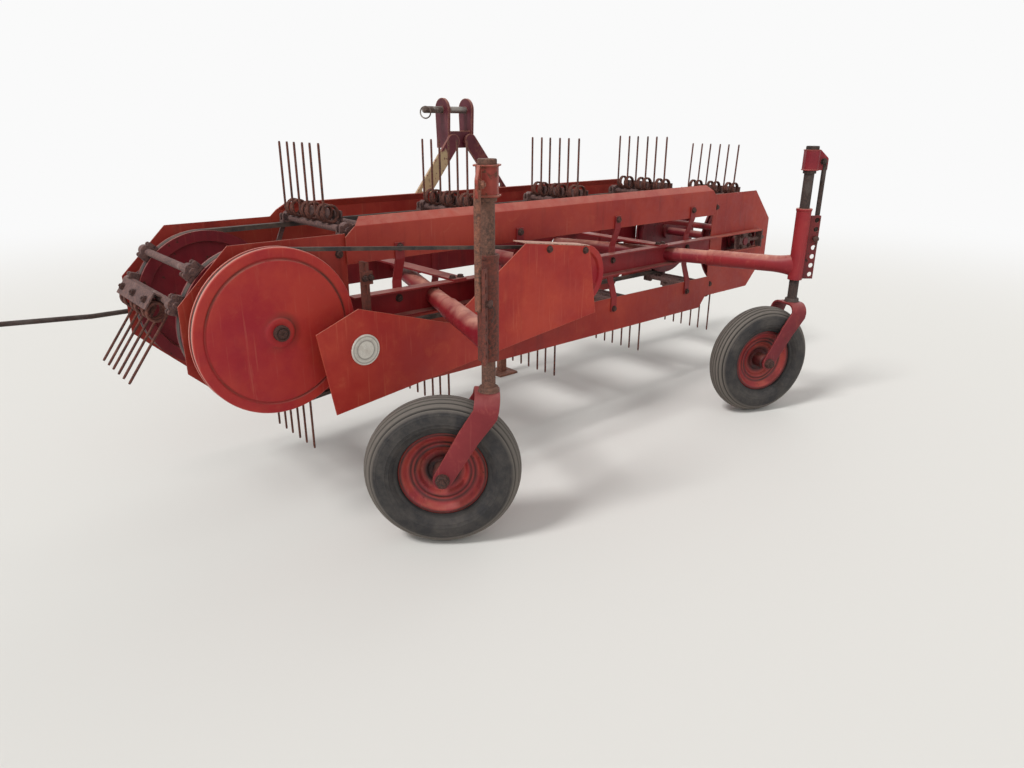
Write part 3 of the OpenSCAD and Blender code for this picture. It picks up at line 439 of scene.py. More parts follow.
def swept(path, radii, sideways, section):
    # ring round path point P: P + p u N + q v B for section points (u, v) and radii (p, q); N is sideways
    # made square to the path, and B = path x N
    path = np.asarray(path, float)
    along = np.gradient(path, axis=0)
    along /= np.linalg.norm(along, axis=1, keepdims=True)
    n = sideways - (sideways * along).sum(1, keepdims=True) * along
    n /= np.linalg.norm(n, axis=1, keepdims=True)
    b = np.cross(along, n)
    radii = np.asarray(radii, float).reshape(len(path), -1)
    u, v = radii[:, :1] * section[:, 0], radii[:, -1:] * section[:, 1]
    return skin(path[:, None] + u[..., None] * n[:, None] + v[..., None] * b[:, None])


def collar(low, high, half, bore, corner):
    # square plate with a round hole: r = half / max(|cos a|, |sin a|), cut back to half sqrt 2 - corner
    square = np.minimum(half / np.abs(circle(48)).max(1), half * math.sqrt(2) - corner)
    inset = square * (1 - 1 / half)
    return ringed([(bore, low), (inset, low), (square, low + 1), (square, high - 1), (inset, high),
                   (bore, high)], closed=True)


def plate(outline, centre, low, high, shrink, edge):
    # flat plate from an outline in (x, z): rings from y = low to y = high, scaled by 0, shrink or 1 about
    # the centre
    rings = [(0, low), (shrink, low), (1, low + edge), (1, high - edge), (shrink, high), (0, high)]
    return skin(np.stack([np.insert(centre + (outline - centre) * k, 1, y, axis=1) for k, y in rings]))


def moved(shape, matrix):
    # the shape's points through one 4 x 4 place
    return shape[0] @ matrix[:3, :3].T + matrix[:3, 3], shape[1]


def copies(shape, places):
    # every point of the shape through every 4 x 4 place at once, with the faces' numbers shifted to match
    points, faces = shape
    spread = np.einsum("kij,nj->kni", places[:, :3, :3], points) + places[:, None, :3, 3]
    shift = (np.arange(len(places)) * len(points))[:, None, None]
    return spread.reshape(-1, 3), (faces[None] + shift).reshape(-1, faces.shape[1])


def joined(*shapes):
    # all points in a row, with each shape's face numbers raised by the points before it
    starts = np.cumsum([0] + [len(points) for points, faces in shapes[:-1]])
    return (np.concatenate([points for points, faces in shapes]),
            np.concatenate([faces + start for (points, faces), start in zip(shapes, starts)]))


# places: 4 x 4 matrices whose columns are the three local axes and the origin
def shiftedTo(positions):
    # only moves a shape to each position
    places = np.tile(np.eye(4), (len(positions), 1, 1))
    places[:, :3, 3] = positions
    return places


def facing(positions, directions, size=1.0):
    # +Z looks along each direction: Z = direction, X = helper x Z, Y = Z x X; works for one place or many
    z = np.asarray(directions, float)
    z = z / np.linalg.norm(z, axis=-1, keepdims=True)
    helper = np.where(np.abs(z[..., 2:]) < 0.9, [0.0, 0, 1], [1.0, 0, 0])
    x = np.cross(helper, z)
    x /= np.linalg.norm(x, axis=-1, keepdims=True)
    places = np.zeros(z.shape[:-1] + (4, 4))
    places[..., :3, :3] = np.stack([x, np.cross(z, x), z], -1) * size
    places[..., :3, 3] = positions
    places[..., 3, 3] = 1
    return places


def turnedAboutZ(degrees):
    # X becomes (cos a, sin a, 0) and Y becomes (-sin a, cos a, 0)
    a = math.radians(degrees)
    turn = np.eye(4)
    turn[:2, :2] = [[math.cos(a), -math.sin(a)], [math.sin(a), math.cos(a)]]
    return turn


def toMetres(places):
    # places in machine millimetres become places in frame metres
    out = np.array(places, float)
    out[..., :3, :3] /= 1000
    out[..., :3, 3] = toFrame(out[..., :3, 3])
    return out


def alongY(x, y, z):
    # local Z of the shape runs to -Y, the machine's rear
    return toMetres(facing([x, y, z], [0, -1, 0]))


def piece(name, shape, finish, body="frame", standsFor=None, sharp=35):
    # puts the arrays in a mesh, merges doubled points, turns the faces outwards and shades by angle
    mesh = bpy.data.meshes.new(name)
    mesh.from_pydata(shape[0].tolist(), [], shape[1].tolist())
    work = bmesh.new()
    work.from_mesh(mesh)
    bmesh.ops.remove_doubles(work, verts=work.verts, dist=2e-5)
    bmesh.ops.dissolve_degenerate(work, edges=work.edges, dist=1e-6)
    bmesh.ops.recalc_face_normals(work, faces=work.faces)
    work.to_mesh(mesh)
    work.free()
    mesh.shade_smooth()
    mesh.set_sharp_from_angle(angle=math.radians(sharp))
    mesh.materials.append(finishes[finish])
    made = newObject(name, mesh)
    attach(made, body)
    if standsFor:
        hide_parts(standsFor)
    return made


def markAround(made, mark, values):
    # one value for each profile point of a turned piece, the same at every angle
    layer = made.data.attributes.new(mark, "FLOAT", "POINT")
    layer.data.foreach_set("value", np.tile(values, len(made.data.vertices) // len(values)))


def near(profile, places, wide):
    # 1 at each radius in places, falling off as exp(-(distance / wide)^2)
    return np.exp(-((profile[:, :1] - np.array(places, float)) / wide) ** 2).max(1)


def hexNut(across, height, washer, washerHeight, stud):
    # rings up the nut: washer, r = (across / 2) / cos(a mod 60 - 30) for the six flats, then the stud's end
    flats = np.where(np.arange(12) % 2 == 0, across / math.sqrt(3), across / 2)
    top = washerHeight + height
    rings = [(0, 0), (washer, 0), (washer, washerHeight), (flats, washerHeight),
             (flats, washerHeight + height * 0.85), (across * 0.48, top)]
    if stud:
        rings += [(stud, top), (stud, top + stud * 0.8), (0, top + stud * 0.9)]
    else:
        rings += [(0, top)]
    return ringed(rings, 12)


# across the flats, height, the washer's radius and height, and the radius of the stud's end
nuts = {"axle": (30, 12, 19, 3, 9), "hanger": (17, 9, 12, 2, 4.5), "tine": (15, 7, 10, 1.6, 4),
        "bolt": (16, 7, 12, 1.8, 0)}

# what differs between the two sides: which way, how far the caster has swung, and the finishes
sides = {"left": {"way": -1, "swing": 142, "post": "brown", "sleeve": "sleeveRust", "plate": "sleeveRust",
                  "bracket": "bracket", "bar": "post", "flangeHalf": 30},
         "right": {"way": 1, "swing": 158, "post": "dark", "sleeve": "arm", "plate": "holePlate",
                   "bracket": "arm", "bar": "dark", "flangeHalf": 26}}

# wheels, each with local Z along its axle, on forks bent from one flat bar under a post with stop rings
wheel = {"postX": 742, "postBehind": 460, "trail": 120, "tyreR": 205, "tyreW": 99.6, "rimR": 122,
         "crownHigh": 50, "wallHigh": 38, "wallSquare": 2.35, "ribs": 7, "treadHalf": 38, "grooveDeep": 5.5,
         "grooveWide": 3.4, "sideRings": ((178, 1.6), (171, 1.6), (148, 1.4), (138, 1.4)), "forkOut": 64}
caster = {"legMiddle": 60, "bend": 36, "knee": (50.4, 323), "top": (9.5, 382), "legThick": 4, "eyeR": 25,
          "kneeHalf": 29, "crownHalf": 32}


def postPlace(way, mirror=1):
    # upright at one side's post, with X turned over where mirror is -1
    place = np.diag([mirror, 1, 1, 1.0])
    place[:3, 3] = [way * wheel["postX"], -machine["halfGap"] - wheel["postBehind"], 0]
    return place


def tyreProfile(size):
    # section point at angle t: r = R - H + h c^(2/n), w = W/2 s^(2/n), a round crown (h = H, n = 2) over a
    # squarer side wall; the tread's grooves take a smooth notch off r, and low rings stand on each side wall;
    # the bead closes it inside
    t = np.concatenate([np.linspace(-2.55, -1.01, 40), np.linspace(-1, 1, 170), np.linspace(1.01, 2.55, 40)])
    c, s = np.cos(t), np.sin(t)
    squareness = np.where(c > 0, 2.0, size["wallSquare"])
    height = np.where(c > 0, size["crownHigh"], size["wallHigh"])
    w = size["tyreW"] / 2 * np.sign(s) * np.abs(s) ** (2 / squareness)
    r = size["tyreR"] - size["crownHigh"] + height * np.sign(c) * np.abs(c) ** (2 / squareness)
    pitch = 2 * size["treadHalf"] / size["ribs"]
    fromRib = np.abs((w / pitch + 0.5 * size["ribs"]) % 1 - 0.5) * pitch
    groove = np.clip((size["grooveWide"] / 2 - (pitch / 2 - fromRib)) + 0.5, 0, 1)
    r = r - size["grooveDeep"] * groove * (np.abs(w) < size["treadHalf"] + 2) * (np.abs(t) < 1)
    outward = np.sign(w) * 1.1
    for ring, wide in size["sideRings"]:
        w = w + outward * np.exp(-((r - ring) / wide) ** 2) * (np.abs(t) > 1)
    keep = r > size["rimR"] + 3
    t, r, w, groove = t[keep], r[keep], w[keep], groove[keep]
    beadR, beadHalf = size["rimR"] - 6, 30
    bead = np.array([[beadR + 2, beadHalf + 4], [beadR, beadHalf - 4], [beadR, 4 - beadHalf],
                     [beadR + 2, -4 - beadHalf]])
    # painted shade: the grooves are marked to be darkened, and the bead inside by 0.6
    paintedShade = groove * (np.abs(t) < 1) * (np.abs(w) < size["treadHalf"])
    tread = np.clip((1.15 - np.abs(t)) / 0.2, 0, 1)
    return np.concatenate([np.stack([r, w], 1), bead]), np.r_[paintedShade, [0.6] * 4], np.r_[tread, [0] * 4]


def rimProfile(size):
    # pressed disc with stepped rings, welded in a drop-centre rim, round a plain hub; corners rounded
    edge, hub, hubHalf = size["rimR"] - 6.3, 26, size["tyreW"] / 2 - 1
    outline = [[10.06, -hubHalf], [20, -hubHalf], [hub, -hubHalf + 5], [hub, 2], [38, 3], [42, -1], [58, -1],
               [64, -9], [72, -13], [78, -10], [84, -13], [edge - 22, -16], [edge - 12, -27], [edge - 4, -29],
               [edge, -27], [edge, -22], [edge - 5, -18], [edge - 5, 18], [edge, 22], [edge, 27],
               [edge - 4, 29], [edge - 12, 27], [edge - 14, 16], [edge - 24, -8], [78, -4], [64, 4], [42, 9],
               [hub, 12], [hub, hubHalf - 5], [20, hubHalf], [10.06, hubHalf]]
    return roundedCorners(outline, 2.5)


def forkStrap(f, size):
    # half path: round eye below the axle (half width R cos b at R sin b below it), straight to the knee and
    # the top, then a quarter circle in YZ over to the crown; the other half is its mirror image
    eye, knee, top = np.array([size["trail"], size["tyreR"]]), np.array(f["knee"]), np.array(f["top"])
    down = (eye - knee) / np.linalg.norm(eye - knee)
    b = np.radians([90, 75, 60, 45, 30, 15, 0])
    cap = eye + f["eyeR"] * np.sin(b)[:, None] * down
    t = np.linspace(0, 1, 5)[1:, None]
    leg = np.concatenate([cap, eye + (knee - eye) * t, knee + (top - knee) * t])
    c = np.linspace(0, np.pi / 2, 8)[1:]
    arc = np.stack([top[0] - 5.5 * np.sin(c), f["legMiddle"] - f["bend"] * (1 - np.cos(c)),
                    top[1] + f["bend"] * np.sin(c)], 1)
    path = np.concatenate([np.insert(leg, 1, f["legMiddle"], axis=1), arc])
    lean = np.concatenate([np.zeros(len(leg) - 2), [0.2, 0.5], np.linspace(0.6, 1, 7)])[:, None]
    across = (1 - lean) * [-down[1], 0, down[0]] + lean * [1.0, 0, 0]
    wide = np.concatenate([np.maximum(f["eyeR"] * np.cos(b), 0.001),
                           np.linspace(f["eyeR"], f["kneeHalf"], 5)[1:],
                           np.linspace(f["kneeHalf"], f["crownHalf"], 5)[1:], np.full(7, f["crownHalf"])])
    path = np.concatenate([path, (path * [1, -1, 1])[::-1]])
    wide = np.concatenate([wide, wide[::-1]])
    thick = f["legThick"]
    section = roundedCorners([[30, -thick], [30, thick], [-30, thick], [-30, -thick]], 2.2, 3) / [30, 1]
    return swept(path, np.stack([wide, 0 * wide + 1], 1), np.concatenate([across, across[::-1]]), section)


tyreShape, tyreShade, tyreTread = tyreProfile(wheel)
rimShape = rimProfile(wheel)
# painted shade: the dish is marked to be darkened round the hub and along its pressed rings
rimShade = np.maximum(near(rimShape, [30, 73, 84, wheel["rimR"] - 12], 4),
                     np.clip((56 - rimShape[:, 0]) / 12, 0, 1))
bothEnds = np.array([np.diag([1, k, k, 1.0]) for k in (1, -1)])
bothEnds[:, 2, 3] = [wheel["forkOut"] + 0.2, -wheel["forkOut"] - 0.2]
axleNuts = copies(hexNut(*nuts["axle"]), bothEnds)
axleProfile = [[0, -78], [9, -78], [10, -77], [10, 77], [9, 78], [0, 78]]
postProfile = [[0, 414], [17.5, 414], [27, 421], [27.5, 423.5], [25, 425.5], [24.5, 433], [23.5, 434.5],
               [17.5, 435], [17.5, 886.4], [22, 886.8], [22.5, 888], [22.5, 896], [22, 896.7], [17.5, 896.9],
               [17.5, 968.1], [22, 968.3], [22.5, 969], [22.5, 978], [21, 980], [0, 980]]
alongAxle = facing([wheel["trail"], 0, wheel["tyreR"]], [0, -1, 0])
forkShape = joined(forkStrap(caster, wheel), moved(revolved(axleProfile, 32, closed=False), alongAxle))
for name, side in sides.items():
    fork = postPlace(side["way"]) @ turnedAboutZ(side["swing"])
    axle, swivel = toMetres(fork @ alongAxle), "swivel_" + name
    tyre = piece("tyre_" + name + "_ribbed", moved(revolved(tyreShape, 128), axle), "tyre", "wheel_" + name,
                 "tyre_" + name)
    markAround(tyre, "paintedShade", tyreShade)
    markAround(tyre, "tread", tyreTread)
    rim = piece("rim_" + name + "_dished", moved(revolved(rimShape, 96), axle), "rim", "wheel_" + name,
                "rim_" + name)
    markAround(rim, "paintedShade", rimShade)
    piece("axle_nuts_" + name, moved(axleNuts, axle), "bolt", swivel, sharp=30)
    piece("caster_" + name + "_fork", moved(forkShape, toMetres(fork)), "fork", swivel, "caster_" + name, 40)
    piece("caster_" + name + "_post", moved(revolved(postProfile, 48, closed=False), toMetres(fork)),
          side["post"], swivel, "caster_" + name)
print("wheels and casters made")

# sleeves with their hole plates and arm tubes, and the brackets that slide over them
head = {"sleeveLow": 505, "sleeveTop": 765, "sleeveR": 26, "sleeveBore": 17.8, "armZ": 557, "armFront": 404,
        "armDeep": 937, "tubeR": 30.8, "tubeBore": 27.3, "length": 330, "flareHigh": 44, "flareWide": 24,
        "flareLong": 88, "plateTurn": -41, "plateX": (22, 64), "plateThick": 8, "holeX": 52, "holeR": 9,
        "holes": 7, "pitch": 33, "topHole": 723, "barX": 56, "barY": 13.3, "barR": 8.5, "barLow": 640,
        "barTop": 917, "bracketLow": 897, "bracketTop": 968, "boxHalf": 25, "boxBore": 17.9, "boxCorner": 7,
        "flangeThick": 4, "flangeBore": 20, "flangeCorner": 6, "hangerReach": 66, "hangerHalf": 4,
        "nutX": 50, "nutAbove": 30, "pinHole": 2, "clipWire": 1.9, "clipDrop": 46}


def sleeve(h):
    # a tube with its edges broken, and a thicker ring round its top
    low, top, r, bore = h["sleeveLow"], h["sleeveTop"], h["sleeveR"], h["sleeveBore"]
    return revolved([[bore, low + 1], [bore, top - 1], [bore + 1, top], [r + 1, top], [r + 2, top - 1],
                     [r + 2, top - 8], [r + 1, top - 9.5], [r, top - 10], [r, low + 1], [r - 1, low],
                     [bore + 1, low]], 48)


def armTube(h):
    # an open tube along the arm, its end at the sleeve flared to an oval: half axes R + (flare - R) (1 - k)^2
    r, bore, length = h["tubeR"], h["tubeBore"], h["length"]
    rings = [(0, 0, 2)] + [(r + (h["flareWide"] - r) * (1 - k) ** 2, r + (h["flareHigh"] - r) * (1 - k) ** 2,
                            2 + h["flareLong"] * k) for k in np.linspace(0, 1, 9)]
    rings += [(r, length - 1.4), (r - 0.8, length), (bore + 0.9, length), (bore, length - 1), (bore, 60),
              (0, 60)]
    return moved(ringed(rings), facing([0, 0, h["armZ"]], [h["armFront"] - wheel["postX"], h["armDeep"], 0]))


def holedPlate(h, perSide=8):
    # one cell for each hole: quads run from the hole's circle to the cell's border, front and back, with the
    # hole's wall between; a cell's outer wall stays only where it lies on the plate's own edge
    (x0, x1), half, face = h["plateX"], h["pitch"] / 2, h["plateThick"] / 2
    corners = np.array([[x1, -half], [x1, half], [x0, half], [x0, -half]])
    t = np.arange(perSide)[:, None] / perSide
    border = (corners[:, None] + (np.roll(corners, -1, 0) - corners)[:, None] * t).reshape(-1, 2)
    a = np.arctan2(border[:, 1], border[:, 0] - h["holeX"])
    hole = np.stack([h["holeX"] + h["holeR"] * np.cos(a), h["holeR"] * np.sin(a)], 1)
    cell = np.stack([np.insert(edge, 1, y, axis=1)
                     for edge, y in ((border, -face), (hole, -face), (hole, face), (border, face))])
    centres = [[0, 0, h["topHole"] - h["pitch"] * k] for k in range(h["holes"])]
    points, faces = copies(skin(cell, True), shiftedTo(centres))
    keep = np.ones((h["holes"], 4, 4 * perSide), bool)
    keep[1:, 3, perSide:2 * perSide] = False
    keep[:-1, 3, 3 * perSide:] = False
    return points, faces[keep.reshape(-1)]


def lockBracket(h, flangeHalf):
    # a square tube over the post between two wider flanges, and the hanger plate that holds the locking bar
    low, high, thick, reach = h["bracketLow"], h["bracketTop"], h["flangeThick"], h["hangerReach"]
    outline = roundedCorners([[0, low], [reach, low], [reach, high - 30], [34, high], [0, high]], 4)
    front, back = h["barY"] - h["hangerHalf"], h["barY"] + h["hangerHalf"]
    flanges = [collar(z, z + thick, flangeHalf, h["flangeBore"], h["flangeCorner"])
               for z in (low, high - thick)]
    return joined(collar(low, high, h["boxHalf"], h["boxBore"], h["boxCorner"]), *flanges,
                  plate(outline, outline.mean(0), front, back, 0.97, 0.9))


def lockBar(h):
    # a round bar with its ends broken, and the nut that holds it to the hanger plate
    r, low, top = h["barR"], h["barLow"], h["barTop"]
    bar = revolved([[0, low], [r - 1.5, low], [r, low + 2], [r, top - 2], [r - 1.5, top], [0, top]], 24,
                   closed=False)
    nutPlace = facing([h["nutX"], h["barY"] - h["hangerHalf"] - 0.1, h["bracketLow"] + h["nutAbove"]],
                      [0, -1, 0])
    return joined(moved(bar, shiftedTo([[h["barX"], h["barY"], 0]])[0]),
                  moved(hexNut(*nuts["hanger"]), nutPlace))


def lockPin(h):
    # the pin in the third hole, with its wire clip hanging from the head as a leaning, bowed line
    pinZ = h["topHole"] - h["pinHole"] * h["pitch"]
    pin = revolved([[0, -19], [9, -19], [10.5, -17.5], [10.5, -12], [9.5, -11], [8, -11], [8, 4.2],
                    [7.5, 4.6], [0, 4.6]], 24, closed=False)
    k = np.linspace(0, 1, 15)
    clipPath = np.stack([h["holeX"] + 3 * np.sin(2 * np.pi * k), -15 - 10 * np.sin(np.pi * k),
                         pinZ - h["clipDrop"] * k ** 1.3], -1)
    clip = swept(clipPath, np.r_[0.001, np.full(13, h["clipWire"]), 0.001], np.tile([1.0, 0, 0], (15, 1)),
                 circle(8))
    return joined(moved(pin, facing([h["holeX"], 0, pinZ], [0, 1, 0])), clip)


for name, side in sides.items():
    place = postPlace(side["way"], side["way"])
    upright, turned = toMetres(place), toMetres(place @ turnedAboutZ(head["plateTurn"]))
    armHead, bracket = "arm_head_" + name, "lock_bracket_" + name
    piece(armHead + "_sleeve", moved(sleeve(head), upright), side["sleeve"], standsFor=armHead)
    piece("hole_plate_" + name, moved(holedPlate(head), turned), side["plate"], standsFor=armHead)
    piece(armHead + "_tube", moved(armTube(head), upright), "arm", standsFor=armHead)
    piece(bracket + "_turned", moved(lockBracket(head, side["flangeHalf"]), turned), side["bracket"],
          "lock_" + name, bracket)
    piece("lock_bar_" + name, moved(lockBar(head), turned), side["bar"], "lock_" + name, bracket)
    piece("lock_pin_" + name, moved(lockPin(head), turned), "bolt")
print("sleeves made")

# wall shields: one folded sheet from end plate to end plate, each way it is cut worked out from its height
shield = {"half": 866, "face": 250, "thick": 3, "upperLow": 690, "crease": 790, "lip": 31.4, "foldR": 5,
          "slantFrom": 764, "slant": 80 / 70, "lowerLow": 300, "lowerTop": 430, "corner": 60 / 70,
          "cornerTop": 370}


def foldedShield(line, ends, thick, count=48):
    # the section is the line (y, z) and its copy moved by the sheet's thickness along the line's own normal;
    # ring u holds x = u * end; a last ring on the middle of the sheet closes each end
    along = np.gradient(line, axis=0)
    along /= np.linalg.norm(along, axis=1, keepdims=True)
    innerLine = line + thick * np.stack([along[:, 1], -along[:, 0]], 1)
    section = np.concatenate([line, innerLine[::-1]])
    centre = np.concatenate([(line + innerLine) / 2, ((line + innerLine) / 2)[::-1]])
    ends = np.concatenate([ends, ends[::-1]])
    rings = [(-1, centre)] + [(u, section) for u in np.linspace(-1, 1, count)] + [(1, centre)]
    return skin(np.stack([np.insert(points, 0, u * ends, axis=1) for u, points in rings]))


turnIn = np.linspace(0, math.pi / 4, 6)[1:, None]
lipRun = np.array([[8], [16], [shield["lip"] - 1.5]]) * math.sqrt(0.5)
upperLine = np.concatenate([
    np.stack([np.full(9, -shield["face"]), np.linspace(shield["upperLow"], shield["crease"] - 2, 9)], 1),
    [-shield["face"], shield["crease"] - 2]
    + shield["foldR"] * np.hstack([1 - np.cos(turnIn), np.sin(turnIn)]),
    [1.5 - shield["face"], 1.5 + shield["crease"]] + lipRun])
upperEnds = shield["half"] - np.maximum(0, upperLine[:, 1] - shield["slantFrom"]) * shield["slant"]
lowerLine = np.stack([np.full(14, -shield["face"]),
                      np.linspace(shield["lowerLow"], shield["lowerTop"], 14)], 1)
lowerEnds = shield["half"] - np.maximum(0, shield["cornerTop"] - lowerLine[:, 1]) * shield["corner"]
for level, line, ends in (("upper", upperLine, upperEnds), ("lower", lowerLine, lowerEnds)):
    points, faces = foldedShield(line, ends, shield["thick"])
    for wallName, way in (("rear", 1), ("front", -1)):
        node = wallName + "_shield_" + level
        piece(node + "_folded", (toFrame(points * [1, way, 1]), faces), "wall", standsFor=node, sharp=40)
print("shields made")

# tines on the belt loop; the guides turn the tines from the bars' heading, given in pairs of degrees
loop = {"beltR": 202, "beltT": 14, "sets": 11, "first": 278, "spacerLead": 85, "barR": 10, "barLift": 12,
        "beltY": 180, "tineMid": 20, "tinePitch": 98}
tine = {"coilR": 27, "wireR": 3.6, "length": 192, "coilGap": 5, "coilW": 24.5, "turns": 2.25, "coilSteps": 46,
        "bendR": 5, "nutOut": 32.4, "nutHigh": 22}
rightGuide = ([-90, -30, 20, 60, 90], [-90, 0, 78, 88, 90])
leftGuide = ([-270, -201, -150, -90], [-270, -126, -94, -90])


def onLoop(s):
    # point and outward heading at distance s along the loop: top run, right curve, bottom run, left curve
    half, r = machine["halfShaft"], loop["beltR"]
    pitchR = r - loop["beltT"] / 2
    curve = math.pi * pitchR
    s = s % (4 * half + 2 * curve)
    a1 = 90 - np.degrees((s - 2 * half) / pitchR)
    a2 = -90 - np.degrees((s - 4 * half - curve) / pitchR)
    run = [s < 2 * half, s < 2 * half + curve, s < 4 * half + curve]
    heading = np.select(run, [90.0 + 0 * s, a1, -90.0 + 0 * s], a2)
    x = np.select(run, [s - half, half + r * np.cos(np.radians(a1)), half - (s - 2 * half - curve)],
                  -half + r * np.cos(np.radians(a2)))
    z = np.select(run, [r + 0 * s, r * np.sin(np.radians(a1)), -r + 0 * s], r * np.sin(np.radians(a2)))
    right = s <= 2 * half + curve
    tines = np.where(right, np.interp(heading, *rightGuide), np.interp(heading, *leftGuide))
    return x, z + machine["shaftHeight"], heading, tines


def headingPlaces(x, z, heading, y=0.0):
    # local Z along the heading in the XZ plane, local Y along the machine's Y
    c, s, zero = np.cos(np.radians(heading)), np.sin(np.radians(heading)), 0 * x
    rows = [[s, zero, c, x], [zero, zero + 1, zero, zero + y], [-c, zero, s, z], [zero, zero, zero, zero + 1]]
    return np.moveaxis(np.array(rows), 2, 0)


def doubleTine(t):
    # one wire: leg down, helix x = R cos a, z = lift + R sin a with y running inwards, quarter bend, seat,
    # and the mirror image of all that; the ring's N is path x Y, with the sign changed on the mirrored half
    lift, ringR = loop["barR"] + t["coilR"], t["coilR"] - t["wireR"]
    outer, inmost = t["coilGap"] + t["coilW"] - t["wireR"], t["coilGap"] + t["wireR"]
    z = lift + t["length"] * np.array([1.0, 0.9995, 0.97, 0.5, 0.06])
    leg = np.stack([np.full(5, -ringR), np.full(5, outer), z], -1)
    a = np.pi + np.linspace(0, 2 * np.pi * t["turns"], t["coilSteps"])
    coil = np.stack([ringR * np.cos(a), np.linspace(outer, inmost, t["coilSteps"]),
                     lift + ringR * np.sin(a)], -1)
    b = np.linspace(0.25, 1, 4) * np.pi / 2
    bend = np.stack([t["bendR"] * np.sin(b), inmost - t["bendR"] * (1 - np.cos(b)),
                     np.full(4, loop["barR"] + t["wireR"])], -1)
    half = np.concatenate([leg, coil, bend])
    radii = np.concatenate([[0.001, t["wireR"] * 0.8], np.full(len(half) - 2, t["wireR"])])
    path = np.concatenate([half, (half * [1, -1, 1])[::-1]])
    along = np.gradient(path, axis=0)
    n = np.cross(along, [0, 1, 0]) * np.repeat([1.0, -1.0], len(half))[:, None]
    n[np.linalg.norm(n, axis=1) < 0.25 * np.linalg.norm(along, axis=1)] = [0, 0, 1]
    return swept(path, np.concatenate([radii, radii[::-1]]), n, circle(8))


curveLength = math.pi * (loop["beltR"] - loop["beltT"] / 2)
spacing = (4 * machine["halfShaft"] + 2 * curveLength) / loop["sets"]
setAt = loop["first"] + spacing * np.arange(loop["sets"])
x, z, heading, tineHeading = onLoop(setAt)
barX = x + loop["barLift"] * np.cos(np.radians(heading))
barZ = z + loop["barLift"] * np.sin(np.radians(heading))
tinePlaces = toMetres(np.concatenate([
    headingPlaces(barX, barZ, tineHeading, loop["tineMid"] + k * loop["tinePitch"]) for k in (-1, 0, 1)]))
piece("tine_wires", copies(doubleTine(tine), tinePlaces), "tine", standsFor="tines", sharp=60)
# a nut on the holder strip for each double tine: local X of the tine's place is the strip's outer side
nutSide = np.array([[0, 0, 1, tine["nutOut"]], [0, 1, 0, 0], [-1, 0, 0, tine["nutHigh"]], [0, 0, 0, 1.0]])
piece("tine_nuts", copies(moved(hexNut(*nuts["tine"]), nutSide), tinePlaces), "bolt", sharp=30)
print("tines made:", len(tinePlaces))

# clamps' lugs on the belts, at tine and spacer bars: strips with a half-round top, (w cos a, h + w sin a)
lug = {"width": 13, "height": 21, "thick": 6, "reach": 19, "apart": 9, "top": 7}
a, lugHalf = np.linspace(0, np.pi, 7), lug["width"] / 2
lugTop = np.stack([lugHalf * np.cos(a), lug["height"] - lugHalf + lugHalf * np.sin(a)], 1)
lugOutline = np.concatenate([[[lugHalf, 0]], lugTop, [[-lugHalf, 0]]])
lugPlate = plate(lugOutline, np.array([0, lug["height"] / 2]), -lug["thick"] / 2, lug["thick"] / 2, 0.86, 1.2)
lugCorners = [[kx * lug["reach"], ky * lug["apart"], lug["top"]] for kx in (-1, 1) for ky in (-1, 1)]
barsAt = onLoop(np.concatenate([setAt, setAt + loop["spacerLead"]]))[:3]
clampPlaces = np.concatenate([headingPlaces(*barsAt, y) for y in (-loop["beltY"], loop["beltY"])])
piece("clamp_lugs", copies(copies(lugPlate, shiftedTo(lugCorners)), toMetres(clampPlaces)), "bar")
print("clamp lugs made:", len(clampPlaces))

# drive: large pressed disc, small pulley, splined shaft
drive = {"plane": 300, "discR": 213, "pulleyR": 105, "beltW": 13, "groove": 13, "shaftR": 20, "stubR": 17.4,
         "stubFrom": 445, "stubTo": 527, "splines": 6, "splineDeep": 3,
         "hubEndOut": 30.2}


def discProfile(d):
    # hub, pressed web with two steps, and a heavy rim with the belt's groove; corners rounded
    r, g = d["discR"], d["beltW"] / 2 + 0.3
    outline = [[17.55, -18], [34, -18], [34, 11], [r - 40, 12], [r - 34, 10], [r - 26, 10], [r - 24, -14],
               [r - 3, -14], [r, -11], [r, -g], [r - d["groove"], -g], [r - d["groove"], g], [r, g], [r, 13],
               [r - 3, 16], [r - 24, 16], [r - 27, 13.5], [r - 30, 13.5], [r - 33, 18], [60, 17], [40, 18],
               [34, 21.5], [17.55, 21.5]]
    return roundedCorners(outline, 2.2)


def pulleyProfile(d):
    # hub, thin web and a rim with the belt's groove; corners rounded
    r, g = d["pulleyR"], d["beltW"] / 2 + 0.3
    outline = [[20.05, -18], [34, -18], [34, -4], [r - 26, -4], [r - 22, -14], [r, -14], [r, -g],
               [r - d["groove"], -g], [r - d["groove"], g], [r, g], [r, 14], [r - 22, 14], [r - 26, 4],
               [34, 4], [34, 18], [20.05, 18]]
    return roundedCorners(outline, 2)


def splinedShaft(d):
    # a plain shaft, then rings round the stub whose radius drops by the splines' depth in narrow grooves
    r, y0, y1 = d["shaftR"], d["stubFrom"], d["stubTo"]
    start = -d["plane"] - 20
    shaft = revolved([[0, start], [r - 1, start], [r, start + 1], [r, y0 - 1], [r - 1, y0], [0, y0]], 48,
                     closed=False)
    tooth = np.clip((np.cos(np.arange(96) * 2 * np.pi / 96 * d["splines"]) + 0.25) * 6, 0, 1)
    toothR = d["stubR"] - d["splineDeep"] * (1 - tooth)
    stub = ringed([(0, y0), (toothR, y0), (toothR, y1 - 26), (toothR - 2.5, y1 - 24), (toothR - 2.5, y1 - 20),
                   (toothR, y1 - 18), (toothR, y1 - 2), (toothR - 2, y1), (0, y1)], 96)
    return joined(shaft, stub)


height, discX = machine["shaftHeight"], -machine["halfShaft"]
discShape = discProfile(drive)
disc = piece("disc_pressed", moved(revolved(discShape, 144), alongY(discX, -drive["plane"], height)), "disc",
             standsFor="driven_disc", sharp=30)
